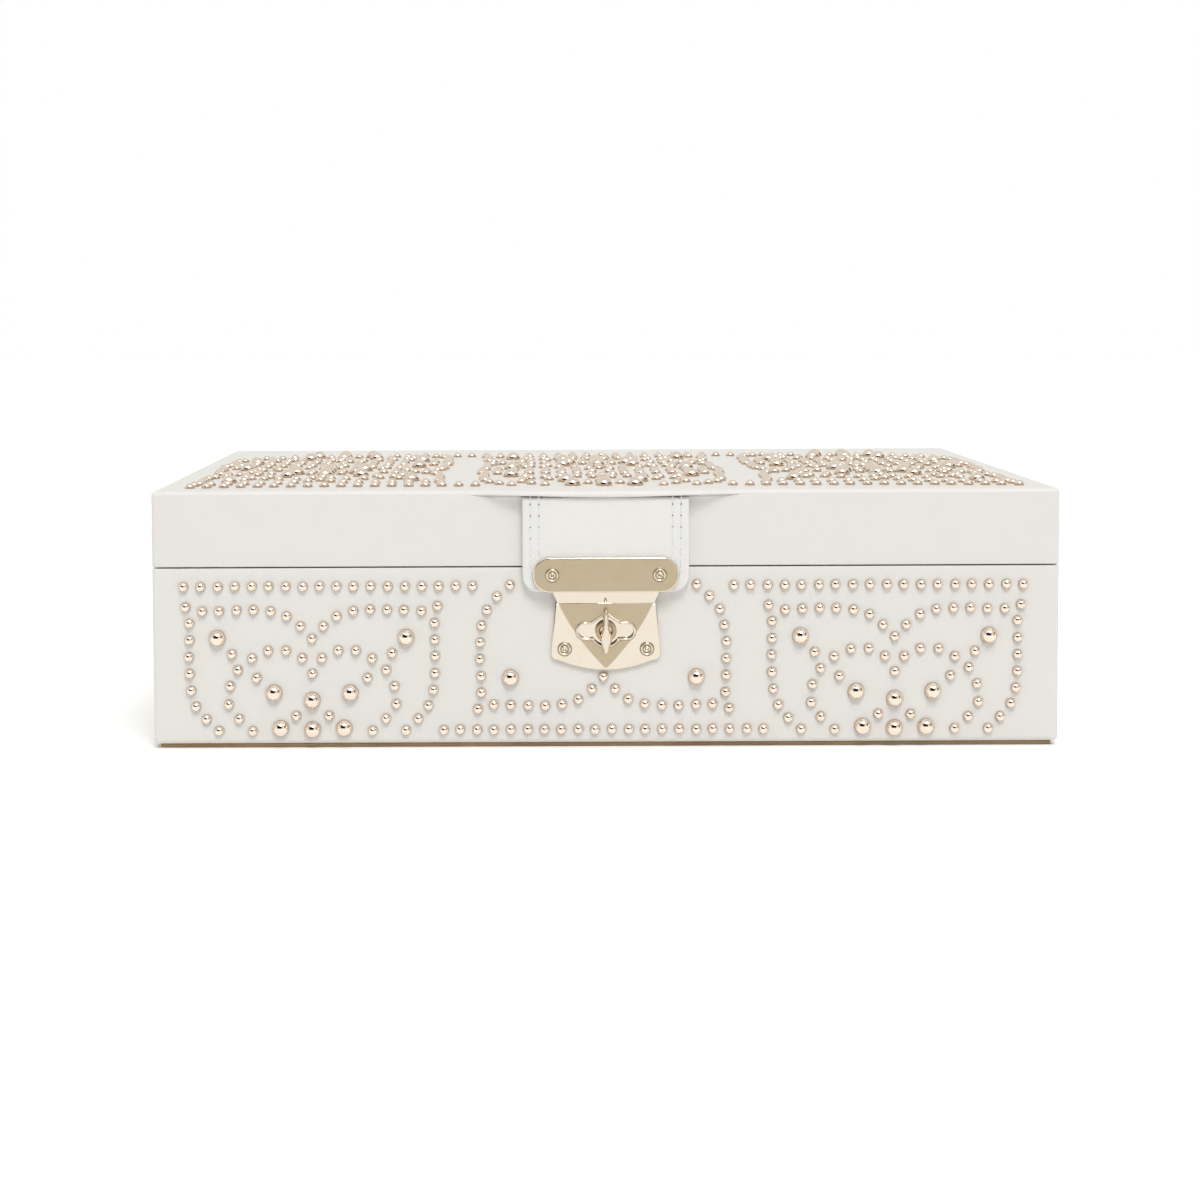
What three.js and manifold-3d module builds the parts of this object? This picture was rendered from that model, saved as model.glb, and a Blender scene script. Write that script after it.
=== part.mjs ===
// A low leather-covered jewellery box: a lined case with fixed compartments and ring rolls,
// a lid on two stop hinges, and a turn-lock clasp on a leather tab.
// Millimetres, +Z up, front towards -Y. The origin is the centre of the base pad's underside.
import * as THREE from "three";
import { mergeVertices } from "three/addons/utils/BufferGeometryUtils.js";
import Module from "manifold-3d";

const wasm = await Module();
wasm.setup();

// ---------------------------------------------------------------- driving dimensions

const width = 311; // outside of the leather, left to right
const depth = 216; // outside of the leather, front to back
const height = 88.75; // table to the lid's top edge
const lidHeight = 26; // lid's rim to its top edge
const seam = 0.5; // gap between the two rims
const fit = 0.25; // gap between pieces that are glued or laid together
const slack = 0.35; // gap around a piece that turns or passes through another

const baseThick = 1.5; // fabric-covered base pad
const baseInset = 2; // how far the base pad stands back from the leather
const skin = 1; // leather cover
const board = 6; // wall boards of the case
const collarSlack = 0.5; // how much thinner the lid's walls are, so that the collar passes inside
const floorBoard = 4;
const lidTopBoard = 3.75;
const cornerRadius = 1.5; // upright edges of the leather covers
const crown = 1.25; // rise of the padded lid at its middle
const foamEdge = 1.25; // foam under the lid's leather, at its edge

const lining = 2; // lined card on the inside of the walls
const collar = 4; // how far that card stands above the case's rim
const floorPad = 3;
const divider = 3; // thickness of the compartment dividers
const dividerDrop = 12; // case's rim to the dividers' top
const ringColumn = 86; // width of the left column, where the ring rolls lie
const rightColumn = 86;
const rightRear = 66; // depth of the right column's rear compartment
const rollCount = 6;
const rollPitch = 17.5;
const rollRadius = 7.5;
const rollSink = 4.5; // dividers' top to the rolls' top
const rollEndGap = 1; // free space at each end of a roll

const linerPanel = 2.25; // lined panel inside the lid, and the mirror in it
const mirrorWidth = 226;
const mirrorDepth = 138;

const hingeOffset = 95; // middle of the box to the middle of a hinge
const hingeWidth = 38;
const leafThick = 0.75;
const knuckleRadius = 2.2;
const knuckleCount = 5; // case, lid, case, lid, case
const pinRadius = 1;
const screwSpacing = 22;
const screwHeadRadius = 1.6;
const screwShankRadius = 0.8;
const screwLength = 6.5;

const tabWidth = 57;
const tabThick = 2.8;
const tabCorner = 4.5;
const tabTopDrop = 2.25; // lid's top edge to the tab's rounded top, where it bends
const hoodReach = 1; // how far the hood stands past the front of the tab
const hoodThick = 2;
const hoodSpread = 20; // how far the hood fades out on each side of the tab

const haspLength = 50;
const haspHeight = 12;
const haspDrop = 2.5; // middle of the seam to the middle of the hasp's bar
const haspThick = 1.2;
const neckTopWidth = 36.7; // the bent strip under the bar, where it starts
const neckHeight = 3.8;
const tongueWidth = 32.6;
const tongueHeight = 22.3;
const tongueThick = 1;
const tongueTip = 0.8; // width of the tongue's blunt tip
const tongueBow = 0.7; // its sides bow out: at half height they aim this share of its half width
const tongueLift = 0.6; // free gap between the tongue and the lock plate
const slotHalf = 9.65; // half length of the tongue's slot
const slotArm = 2.55; // half height of the slot's arms
const slotEye = 5; // radius of the slot's round middle
const slotDrop = 9.6; // top of the tongue to the slot's centre
const haspRivetSpacing = 36.6;

const lockTopWidth = 34.6;
const lockBottomWidth = 37.6;
const lockThick = 1;
const lockTopGap = 0.2; // top of the tongue to the top of the lock plate
const lockSideHeight = 17.5; // length of the lock plate's straight sides
const lockBow = 3.4; // depth of the curved bottom edge
const lockCorner = 2.6;
const lockRivetSpacing = 28.2;
const lockRivetDrop = 16; // top of the tongue to the lock plate's rivets

const rivetHeadRadius = 2.25;
const rivetHeadRise = 0.7;
const rivetShankRadius = 1.25;
const collarRadius = 3.7; // fixed collar that the knob turns in
const collarRise = 1.6;
const stemRadius = 1.6;
const knobLength = 15.7;
const knobWaist = 5.2;
const knobTip = 2;
const knobDepth = 3.6;
const knobShoulder = 0.55; // share of that depth at which the ridged front begins
const knobFlare = 0.35; // share of the half length at which the sides start to widen
const washerRadius = 4;
const washerThick = 1;

// ---------------------------------------------------------------- places that follow from them

const halfW = width / 2;
const halfD = depth / 2;
const lidBottom = height - lidHeight;
const rim = lidBottom - seam; // top of the case's leather
const seamMiddle = (rim + lidBottom) / 2;
const frontFace = -halfD;

const boardOutX = halfW - skin - fit;
const boardOutY = halfD - skin - fit;
const boardInX = boardOutX - board;
const boardInY = boardOutY - board;
const caseBoardBottom = baseThick + fit;
const caseBoardTop = rim - skin - fit;
const floorTop = caseBoardBottom + floorBoard;

const liningOutX = boardInX - fit;
const liningOutY = boardInY - fit;
const liningInX = liningOutX - lining;
const liningInY = liningOutY - lining;
const liningBottom = floorTop + fit;
const padTop = liningBottom + floorPad;

const dividerBottom = padTop + fit;
const dividerTop = rim - dividerDrop;
const leftDividerX = -liningInX + ringColumn + divider / 2;
const rightDividerX = liningInX - rightColumn - divider / 2;
const ringRegion = rollCount * rollPitch;
const leftCrossY = liningInY - ringRegion - divider / 2;
const rightCrossY = liningInY - rightRear - divider / 2;

const lidInX = boardInX + collarSlack;
const lidInY = boardInY + collarSlack;
const lidBoardBottom = lidBottom + skin + fit;
const foamTop = height - skin - fit;
const foamBottom = foamTop - foamEdge;
const lidTopBoardTop = foamBottom - fit;
const lidTopBoardBottom = lidTopBoardTop - lidTopBoard;
const lidBoardTop = lidTopBoardBottom - fit;
const linerTop = lidBoardTop - fit;
const linerBottom = linerTop - linerPanel;

const hingeY = halfD + knuckleRadius + slack;
const caseLeafZ = [rim - fit / 2 - leafThick, rim - fit / 2];
const lidLeafZ = [lidBottom + fit / 2, lidBottom + fit / 2 + leafThick];
const leafIn = boardInY + fit;
const screwY = (leafIn + halfD) / 2;

const tabBack = frontFace - fit;
const tabFront = tabBack - tabThick;
const tabTop = height - tabTopDrop;
const tabPivotY = tabBack - tabThick / 2;
const tabPivotZ = tabTop - tabThick / 2;
const haspMiddle = seamMiddle - haspDrop;
const haspBottom = haspMiddle - haspHeight / 2;
const haspBack = tabFront - fit;
const haspFront = haspBack - haspThick;
const lockBack = frontFace - fit;
const lockFront = lockBack - lockThick;
const tongueBack = lockFront - tongueLift;
const tongueFront = tongueBack - tongueThick;
const tongueTop = haspBottom - neckHeight;
const knobZ = tongueTop - slotDrop;
const collarFront = lockFront - fit - collarRise;
const knobBack = collarFront - slack;
const knobFront = knobBack - knobDepth;
const washerPocket = boardInY + 3 * fit + washerThick; // how far out the washer's pocket is cut

// ---------------------------------------------------------------- materials

const finish = (color, roughness, metalness = 0) =>
  new THREE.MeshStandardMaterial({ color, roughness, metalness });
const leather = finish(0xece9e2, 0.5);
const suede = finish(0xa38a6c, 0.95);
const basePadCloth = finish(0x9c8160, 0.95);
const boardWood = finish(0xb79a74, 0.85);
const foam = finish(0xe6e2da, 0.95);
const gold = finish(0xd9c49a, 0.25, 1);
const steel = finish(0xb9b9b4, 0.35, 1);
const glass = finish(0xdfe6e8, 0.03, 1);

// ---------------------------------------------------------------- helpers

const box = new THREE.Group();

// A geometry as a manifold-3d solid.
function solid(geometry) {
  const bare = geometry.index ? geometry.toNonIndexed() : geometry.clone();
  bare.deleteAttribute("normal");
  bare.deleteAttribute("uv");
  const merged = mergeVertices(bare, 1e-4);
  return new wasm.Manifold(
    new wasm.Mesh({
      numProp: 3,
      vertProperties: new Float32Array(merged.attributes.position.array),
      triVerts: new Uint32Array(merged.index.array),
    }),
  );
}

// A manifold-3d solid as a geometry.
function geometryOf(body) {
  const mesh = body.getMesh();
  const geometry = new THREE.BufferGeometry();
  geometry.setAttribute("position", new THREE.BufferAttribute(mesh.vertProperties, 3));
  geometry.setIndex(new THREE.BufferAttribute(mesh.triVerts, 1));
  geometry.computeVertexNormals();
  return geometry;
}

function place(name, geometry, material) {
  const mesh = new THREE.Mesh(geometry, material);
  mesh.name = name;
  box.add(mesh);
  return mesh;
}

function placeSolid(name, body, material) {
  return place(name, geometryOf(body), material);
}

// A straight block between two limits on each axis.
function blockGeometry([x0, x1], [y0, y1], [z0, z1], segments = [1, 1, 1]) {
  const geometry = new THREE.BoxGeometry(x1 - x0, y1 - y0, z1 - z0, ...segments);
  geometry.translate((x0 + x1) / 2, (y0 + y1) / 2, (z0 + z1) / 2);
  return geometry;
}

const block = (x, y, z) => solid(blockGeometry(x, y, z));
const around = (half) => [-half, half];

// A block whose top is raised like a cushion, by nothing at its edges and by `rise` in the middle.
function crownedBlock(halfX, halfY, [z0, z1], rise) {
  const geometry = blockGeometry(around(halfX), around(halfY), [z0, z1], [10, 8, 1]);
  const at = geometry.attributes.position;
  for (let i = 0; i < at.count; i += 1) {
    if (at.getZ(i) < z1 - 1e-3) continue;
    const u = at.getX(i) / halfX;
    const v = at.getY(i) / halfY;
    at.setZ(i, z1 + rise * (1 - u ** 4) * (1 - v ** 4));
  }
  return solid(geometry);
}

// A round bar along X, Y or Z.
function bar(axis, radius, from, to, [a, b], sides = 16) {
  const geometry = new THREE.CylinderGeometry(radius, radius, to - from, sides);
  const middle = (from + to) / 2;
  if (axis === "x") geometry.rotateZ(Math.PI / 2).translate(middle, a, b);
  if (axis === "y") geometry.translate(a, middle, b);
  if (axis === "z") geometry.rotateX(Math.PI / 2).translate(a, b, middle);
  return solid(geometry);
}

// A turned piece whose axis runs along Y; the profile is a list of [radius, y].
function turned(profile, [x, z], sides = 16) {
  const points = profile.map(([r, y]) => new THREE.Vector2(r, y));
  return solid(new THREE.LatheGeometry(points, sides).translate(x, 0, z));
}

// A plate that faces the front: its outline is drawn in X and Z, and it runs from yBack forwards.
function frontPlate(shape, yBack, thickness, curveSegments = 8) {
  const geometry = new THREE.ExtrudeGeometry(shape, {
    depth: thickness,
    bevelEnabled: false,
    curveSegments,
  });
  geometry.rotateX(Math.PI / 2).translate(0, yBack, 0);
  return solid(geometry);
}

// Four plain upright edges of a cover, rounded.
function roundedPlan(halfX, halfY, radius, [z0, z1]) {
  const shape = new THREE.Shape();
  shape.moveTo(-halfX + radius, -halfY);
  shape.lineTo(halfX - radius, -halfY);
  shape.absarc(halfX - radius, -halfY + radius, radius, -Math.PI / 2, 0);
  shape.absarc(halfX - radius, halfY - radius, radius, 0, Math.PI / 2);
  shape.absarc(-halfX + radius, halfY - radius, radius, Math.PI / 2, Math.PI);
  shape.absarc(-halfX + radius, -halfY + radius, radius, Math.PI, Math.PI * 1.5);
  const geometry = new THREE.ExtrudeGeometry(shape, {
    depth: z1 - z0,
    bevelEnabled: false,
    curveSegments: 3,
  });
  return solid(geometry.translate(0, 0, z0));
}

// ---------------------------------------------------------------- holes that several pieces share

const lockRivets = [-1, 1].map((side) => [(side * lockRivetSpacing) / 2, tongueTop - lockRivetDrop]);
const haspRivets = [-1, 1].map((side) => [(side * haspRivetSpacing) / 2, haspMiddle]);
const hingeSides = [
  ["left", -hingeOffset],
  ["right", hingeOffset],
];
const screwPlaces = hingeSides.flatMap(([side, x]) =>
  [-1, 1].map((step, i) => [`${side}_${i + 1}`, x + (step * screwSpacing) / 2]),
);

// What passes through the case's front wall: the two lock rivets and the knob's stem.
function drillFront(body) {
  let drilled = body;
  for (const at of lockRivets) {
    drilled = drilled.subtract(bar("y", rivetShankRadius + slack, -halfD - 9, -boardInY + 1, at));
  }
  return drilled.subtract(bar("y", stemRadius + slack, -halfD - 9, -boardInY + 1, [0, knobZ]));
}

// Pilot holes for the hinge screws, between two heights.
function drillForScrews(body, z0, z1) {
  let drilled = body;
  for (const [, x] of screwPlaces) {
    drilled = drilled.subtract(bar("z", screwShankRadius + fit, z0, z1, [x, screwY], 8));
  }
  return drilled;
}

// Rebates in a leather rim, where the hinge leaves lie flush.
function cutForLeaves(body, z0, z1) {
  let cut = body;
  for (const [, x] of hingeSides) {
    const across = [x - hingeWidth / 2 - fit, x + hingeWidth / 2 + fit];
    cut = cut.subtract(block(across, [leafIn - fit, halfD + 1], [z0, z1]));
  }
  return cut;
}

// ---------------------------------------------------------------- the case

function makeCase() {
  place(
    "base_pad",
    blockGeometry(around(halfW - baseInset), around(halfD - baseInset), [0, baseThick]),
    basePadCloth,
  );

  const shell = roundedPlan(halfW, halfD, cornerRadius, [baseThick, rim])
    .subtract(block(around(halfW - skin), around(halfD - skin), [baseThick - 1, rim - skin]))
    .subtract(block(around(boardInX), around(boardInY), [baseThick - 1, rim + 1]));
  placeSolid("case_cover", drillFront(cutForLeaves(shell, rim - skin - fit, rim + 1)), leather);

  const uprights = [caseBoardBottom, caseBoardTop];
  const front = block(around(boardOutX), [-boardOutY, -boardInY], uprights)
    .subtract(bar("y", washerRadius + slack, -washerPocket, -boardInY + 1, [0, knobZ]));
  placeSolid("case_front_board", drillFront(front), boardWood);
  const back = block(around(boardOutX), [boardInY, boardOutY], uprights);
  placeSolid("case_back_board", drillForScrews(back, rim - 9, rim + 1), boardWood);
  for (const [side, sign] of [["left", -1], ["right", 1]]) {
    const across = [sign * boardOutX, sign * boardInX].sort((a, b) => a - b);
    place(`case_${side}_board`, blockGeometry(across, around(boardInY - fit), uprights), boardWood);
  }
  place(
    "case_floor_board",
    blockGeometry(around(boardInX - fit), around(boardInY - fit), [caseBoardBottom, floorTop]),
    boardWood,
  );
}

// ---------------------------------------------------------------- what lines the case

function makeLinings() {
  const upright = [liningBottom, rim + collar];
  for (const [name, sign] of [["front", -1], ["back", 1]]) {
    const along = [sign * liningOutY, sign * liningInY].sort((a, b) => a - b);
    place(`lining_${name}`, blockGeometry(around(liningOutX), along, upright), suede);
  }
  for (const [name, sign] of [["left", -1], ["right", 1]]) {
    const across = [sign * liningOutX, sign * liningInX].sort((a, b) => a - b);
    place(`lining_${name}`, blockGeometry(across, around(liningInY - fit), upright), suede);
  }
  place(
    "floor_pad",
    blockGeometry(around(liningInX - fit), around(liningInY - fit), [liningBottom, padTop]),
    suede,
  );
}

function makeDividers() {
  const upright = [dividerBottom, dividerTop];
  const thick = (middle) => [middle - divider / 2, middle + divider / 2];
  place("divider_left", blockGeometry(thick(leftDividerX), around(liningInY - fit), upright), suede);
  place("divider_right", blockGeometry(thick(rightDividerX), around(liningInY - fit), upright), suede);

  const leftSpan = [-liningInX + fit, leftDividerX - divider / 2 - fit];
  const middleSpan = [leftDividerX + divider / 2 + fit, rightDividerX - divider / 2 - fit];
  const rightSpan = [rightDividerX + divider / 2 + fit, liningInX - fit];
  place("cross_left", blockGeometry(leftSpan, thick(leftCrossY), upright), suede);
  place("cross_right", blockGeometry(rightSpan, thick(rightCrossY), upright), suede);
  const third = (2 * liningInY - 2 * divider) / 3;
  const middleCross = (third + divider) / 2;
  place("cross_middle_front", blockGeometry(middleSpan, thick(-middleCross), upright), suede);
  place("cross_middle_back", blockGeometry(middleSpan, thick(middleCross), upright), suede);
}

function makeRingRolls() {
  const span = [-liningInX + rollEndGap, leftDividerX - divider / 2 - rollEndGap];
  const rollZ = dividerTop - rollSink - rollRadius;
  const rear = liningInY - fit;
  place(
    "ring_bed",
    blockGeometry(span, [rear - ringRegion + 2 * fit, rear], [dividerBottom, rollZ - rollRadius - fit]),
    suede,
  );
  for (let i = 0; i < rollCount; i += 1) {
    const y = rear - rollPitch * (i + 0.5);
    placeSolid(`ring_roll_${i + 1}`, bar("x", rollRadius, ...span, [y, rollZ], 12), suede);
  }
}

// ---------------------------------------------------------------- the lid

// How far the cover's front edge bulges out over the tab, at a distance x from the middle.
function hoodProfile(x) {
  const reach = fit + tabThick + hoodReach;
  const past = (Math.abs(x) - tabWidth / 2) / hoodSpread;
  if (past <= 0) return reach;
  return past < 1 ? (reach * (1 + Math.cos(Math.PI * past))) / 2 : 0;
}

function makeHood() {
  const shape = new THREE.Shape();
  const half = tabWidth / 2 + hoodSpread;
  const steps = 24;
  shape.moveTo(half, -halfD + skin / 2);
  shape.lineTo(-half, -halfD + skin / 2);
  for (let i = 0; i <= steps; i += 1) {
    const x = -half + (2 * half * i) / steps;
    shape.lineTo(x, -halfD - hoodProfile(x) + (i % steps === 0 ? skin / 4 : 0));
  }
  const geometry = new THREE.ExtrudeGeometry(shape, { depth: hoodThick, bevelEnabled: false });
  return solid(geometry.translate(0, 0, height - hoodThick));
}

function makeLid() {
  const outer = crownedBlock(halfW, halfD, [lidBottom, height], crown)
    .intersect(roundedPlan(halfW, halfD, cornerRadius, [lidBottom - 1, height + crown + 1]));
  const hollow = crownedBlock(halfW - skin, halfD - skin, [lidBottom + skin, height - skin], crown);
  const shell = outer
    .subtract(hollow)
    .subtract(block(around(lidInX), around(lidInY), [lidBottom - 1, lidBottom + 2 * skin]))
    .add(makeHood());
  placeSolid("lid_cover", cutForLeaves(shell, lidBottom - 1, lidBottom + skin + fit), leather);

  placeSolid(
    "lid_foam",
    crownedBlock(boardOutX, boardOutY, [foamBottom, foamTop], crown),
    foam,
  );
  place(
    "lid_top_board",
    blockGeometry(around(boardOutX), around(boardOutY), [lidTopBoardBottom, lidTopBoardTop]),
    boardWood,
  );

  const uprights = [lidBoardBottom, lidBoardTop];
  place("lid_front_board", blockGeometry(around(boardOutX), [-boardOutY, -lidInY], uprights), suede);
  const back = block(around(boardOutX), [lidInY, boardOutY], uprights);
  placeSolid("lid_back_board", drillForScrews(back, lidBottom - 1, lidBottom + 9), suede);
  for (const [side, sign] of [["left", -1], ["right", 1]]) {
    const across = [sign * boardOutX, sign * lidInX].sort((a, b) => a - b);
    place(`lid_${side}_board`, blockGeometry(across, around(lidInY - fit), uprights), suede);
  }

  const panel = [linerBottom, linerTop];
  const window = block(around(mirrorWidth / 2), around(mirrorDepth / 2), [linerBottom - 1, linerTop + 1]);
  placeSolid(
    "lid_liner_panel",
    block(around(lidInX - fit), around(lidInY - fit), panel).subtract(window),
    suede,
  );
  place(
    "lid_mirror",
    blockGeometry(around(mirrorWidth / 2 - fit), around(mirrorDepth / 2 - fit), panel),
    glass,
  );
}

// ---------------------------------------------------------------- the hinges

// One leaf with its knuckles. `first` is 0 for the case's leaf and 1 for the lid's.
function hingeLeaf(x, [z0, z1], first) {
  const cell = hingeWidth / knuckleCount;
  const start = x - hingeWidth / 2;
  let leaf = block([start, start + hingeWidth], [leafIn, hingeY - knuckleRadius - slack], [z0, z1]);
  for (let i = first; i < knuckleCount; i += 2) {
    const span = [start + i * cell + fit / 2, start + (i + 1) * cell - fit / 2];
    leaf = leaf.add(bar("x", knuckleRadius, ...span, [hingeY, seamMiddle]));
    leaf = leaf.add(block(span, [halfD - 1, hingeY - knuckleRadius * 0.7], [z0, z1]));
  }
  return leaf.subtract(bar("x", pinRadius + fit, start - 1, start + hingeWidth + 1, [hingeY, seamMiddle]));
}

// A countersunk hole, or the screw that fills it: `grow` is added to every radius.
// `outward` is +1 for a head that faces up and -1 for one that faces down.
function screwSolid(x, headZ, outward, grow, length) {
  const headDepth = screwHeadRadius - screwShankRadius;
  const profile = [
    [0, -length],
    [screwShankRadius + grow, -length],
    [screwShankRadius + grow, -headDepth],
    [screwHeadRadius + grow, -grow],
    [screwHeadRadius + grow, 0],
    [0, 0],
  ].map(([r, h]) => new THREE.Vector2(r, h));
  const geometry = new THREE.LatheGeometry(profile, 12);
  geometry.rotateX((outward * Math.PI) / 2).translate(x, screwY, headZ);
  return solid(geometry);
}

function makeHinges() {
  for (const [side, x] of hingeSides) {
    const screws = screwPlaces.filter(([name]) => name.startsWith(side));
    let caseLeaf = hingeLeaf(x, caseLeafZ, 0);
    let lidLeaf = hingeLeaf(x, lidLeafZ, 1);
    for (const [, sx] of screws) {
      caseLeaf = caseLeaf.subtract(screwSolid(sx, caseLeafZ[1] + 0.01, 1, fit / 2, screwLength));
      lidLeaf = lidLeaf.subtract(screwSolid(sx, lidLeafZ[0] - 0.01, -1, fit / 2, screwLength));
    }
    placeSolid(`hinge_${side}_case_leaf`, caseLeaf, gold);
    placeSolid(`hinge_${side}_lid_leaf`, lidLeaf, gold);
    const pinSpan = [x - hingeWidth / 2, x + hingeWidth / 2];
    placeSolid(`hinge_${side}_pin`, bar("x", pinRadius, ...pinSpan, [hingeY, seamMiddle]), steel);
  }
  for (const [name, x] of screwPlaces) {
    placeSolid(`case_screw_${name}`, screwSolid(x, caseLeafZ[1] - fit / 4, 1, 0, screwLength), gold);
    placeSolid(`lid_screw_${name}`, screwSolid(x, lidLeafZ[0] + fit / 4, -1, 0, screwLength), gold);
  }
}

// ---------------------------------------------------------------- the clasp

function tabShape() {
  const half = tabWidth / 2;
  const middle = haspBottom + tabCorner;
  const shape = new THREE.Shape();
  shape.moveTo(half, tabPivotZ);
  shape.lineTo(-half, tabPivotZ);
  shape.absarc(-half + tabCorner, middle, tabCorner, Math.PI, Math.PI * 1.5);
  shape.absarc(half - tabCorner, middle, tabCorner, -Math.PI / 2, 0);
  return shape;
}

// A rivet with a raised ring round a dimple, from its head's front back to the end of its shank.
function rivet(at, faceY, shankEnd) {
  const front = faceY - rivetHeadRise;
  return turned(
    [
      [0, front + rivetHeadRise * 0.8],
      [rivetHeadRadius * 0.35, front + rivetHeadRise * 0.8],
      [rivetHeadRadius * 0.5, front],
      [rivetHeadRadius * 0.8, front],
      [rivetHeadRadius, faceY - fit],
      [rivetShankRadius, faceY - fit],
      [rivetShankRadius, shankEnd],
      [0, shankEnd],
    ],
    at,
  );
}

function tongueShape() {
  const half = tongueWidth / 2;
  const apex = tongueTop - tongueHeight;
  const middle = tongueTop - tongueHeight / 2;
  const shape = new THREE.Shape();
  shape.moveTo(half, tongueTop);
  shape.lineTo(-half, tongueTop);
  shape.quadraticCurveTo(-half * tongueBow, middle, -tongueTip / 2, apex);
  shape.lineTo(tongueTip / 2, apex);
  shape.quadraticCurveTo(half * tongueBow, middle, half, tongueTop);
  return shape;
}

// A bar with round ends, centred at a height.
function stadium(halfLength, radius, z) {
  const shape = new THREE.Shape();
  const straight = halfLength - radius;
  shape.absarc(-straight, z, radius, Math.PI / 2, Math.PI * 1.5);
  shape.absarc(straight, z, radius, -Math.PI / 2, Math.PI / 2);
  return shape;
}

function makeHasp() {
  const barPlate = frontPlate(stadium(haspLength / 2, haspHeight / 2, haspMiddle), haspBack, haspThick);

  // The neck runs from the bar back to the tongue, and narrows on the way.
  const overlap = 0.5;
  const section = new THREE.Shape();
  section.moveTo(haspBack, haspBottom + overlap);
  section.lineTo(haspFront, haspBottom + overlap);
  section.lineTo(haspFront, haspBottom);
  section.lineTo(tongueFront, tongueTop);
  section.lineTo(tongueFront, tongueTop - overlap);
  section.lineTo(tongueBack, tongueTop - overlap);
  section.lineTo(tongueBack, tongueTop);
  section.lineTo(haspBack, haspBottom);
  const neckGeometry = new THREE.ExtrudeGeometry(section, { depth: neckTopWidth, bevelEnabled: false });
  // The section's first axis becomes Y and its second becomes Z.
  neckGeometry.applyMatrix4(
    new THREE.Matrix4().set(0, 0, 1, -neckTopWidth / 2, 1, 0, 0, 0, 0, 1, 0, 0, 0, 0, 0, 1),
  );
  const taper = new THREE.Shape();
  taper.moveTo(-neckTopWidth / 2, haspBottom + 1);
  taper.lineTo(-neckTopWidth / 2, haspBottom);
  taper.lineTo(-tongueWidth / 2, tongueTop);
  taper.lineTo(-tongueWidth / 2 + overlap / 2, tongueTop - 1);
  taper.lineTo(tongueWidth / 2 - overlap / 2, tongueTop - 1);
  taper.lineTo(tongueWidth / 2, tongueTop);
  taper.lineTo(neckTopWidth / 2, haspBottom);
  taper.lineTo(neckTopWidth / 2, haspBottom + 1);
  const neck = solid(neckGeometry).intersect(frontPlate(taper, tongueBack + 1, 9));

  const slot = frontPlate(stadium(slotHalf, slotArm, knobZ), tongueBack + 1, tongueThick + 2)
    .add(bar("y", slotEye, tongueFront - 1, tongueBack + 1, [0, knobZ], 24));
  const tongue = frontPlate(tongueShape(), tongueBack, tongueThick).subtract(slot);

  let hasp = barPlate.add(neck).add(tongue);
  let tab = frontPlate(tabShape(), tabBack, tabThick, 4).add(
    bar("x", tabThick / 2, ...around(tabWidth / 2), [tabPivotY, tabPivotZ], 12),
  );
  for (const at of haspRivets) {
    const hole = bar("y", rivetShankRadius + slack, haspFront - 1, tabBack + 1, at);
    hasp = hasp.subtract(hole);
    tab = tab.subtract(hole);
  }
  placeSolid("hasp_plate", hasp, gold);
  placeSolid("clasp_tab", tab, leather);
  ["left", "right"].forEach((side, i) => {
    placeSolid(`hasp_rivet_${side}`, rivet(haspRivets[i], haspFront, tabBack - fit), gold);
  });
}

function lockShape() {
  const top = tongueTop + lockTopGap;
  const low = top - lockSideHeight;
  const half = lockBottomWidth / 2;
  const shape = new THREE.Shape();
  shape.moveTo(lockTopWidth / 2, top);
  shape.lineTo(-lockTopWidth / 2, top);
  shape.lineTo(-half, low);
  shape.quadraticCurveTo(-half, low - lockCorner, -half + lockCorner, low - lockCorner);
  shape.quadraticCurveTo(0, low - lockCorner - 2 * lockBow, half - lockCorner, low - lockCorner);
  shape.quadraticCurveTo(half, low - lockCorner, half, low);
  return shape;
}

function makeLock() {
  placeSolid("lock_plate", drillFront(frontPlate(lockShape(), lockBack, lockThick)), gold);
  ["left", "right"].forEach((side, i) => {
    placeSolid(`lock_rivet_${side}`, rivet(lockRivets[i], lockFront, -boardInY - 2 * fit), gold);
  });
  const collarRing = bar("y", collarRadius, collarFront, lockFront - fit, [0, knobZ], 24)
    .subtract(bar("y", stemRadius + slack, collarFront - 1, lockFront + 1, [0, knobZ]));
  placeSolid("lock_collar", collarRing, gold);
}

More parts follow.
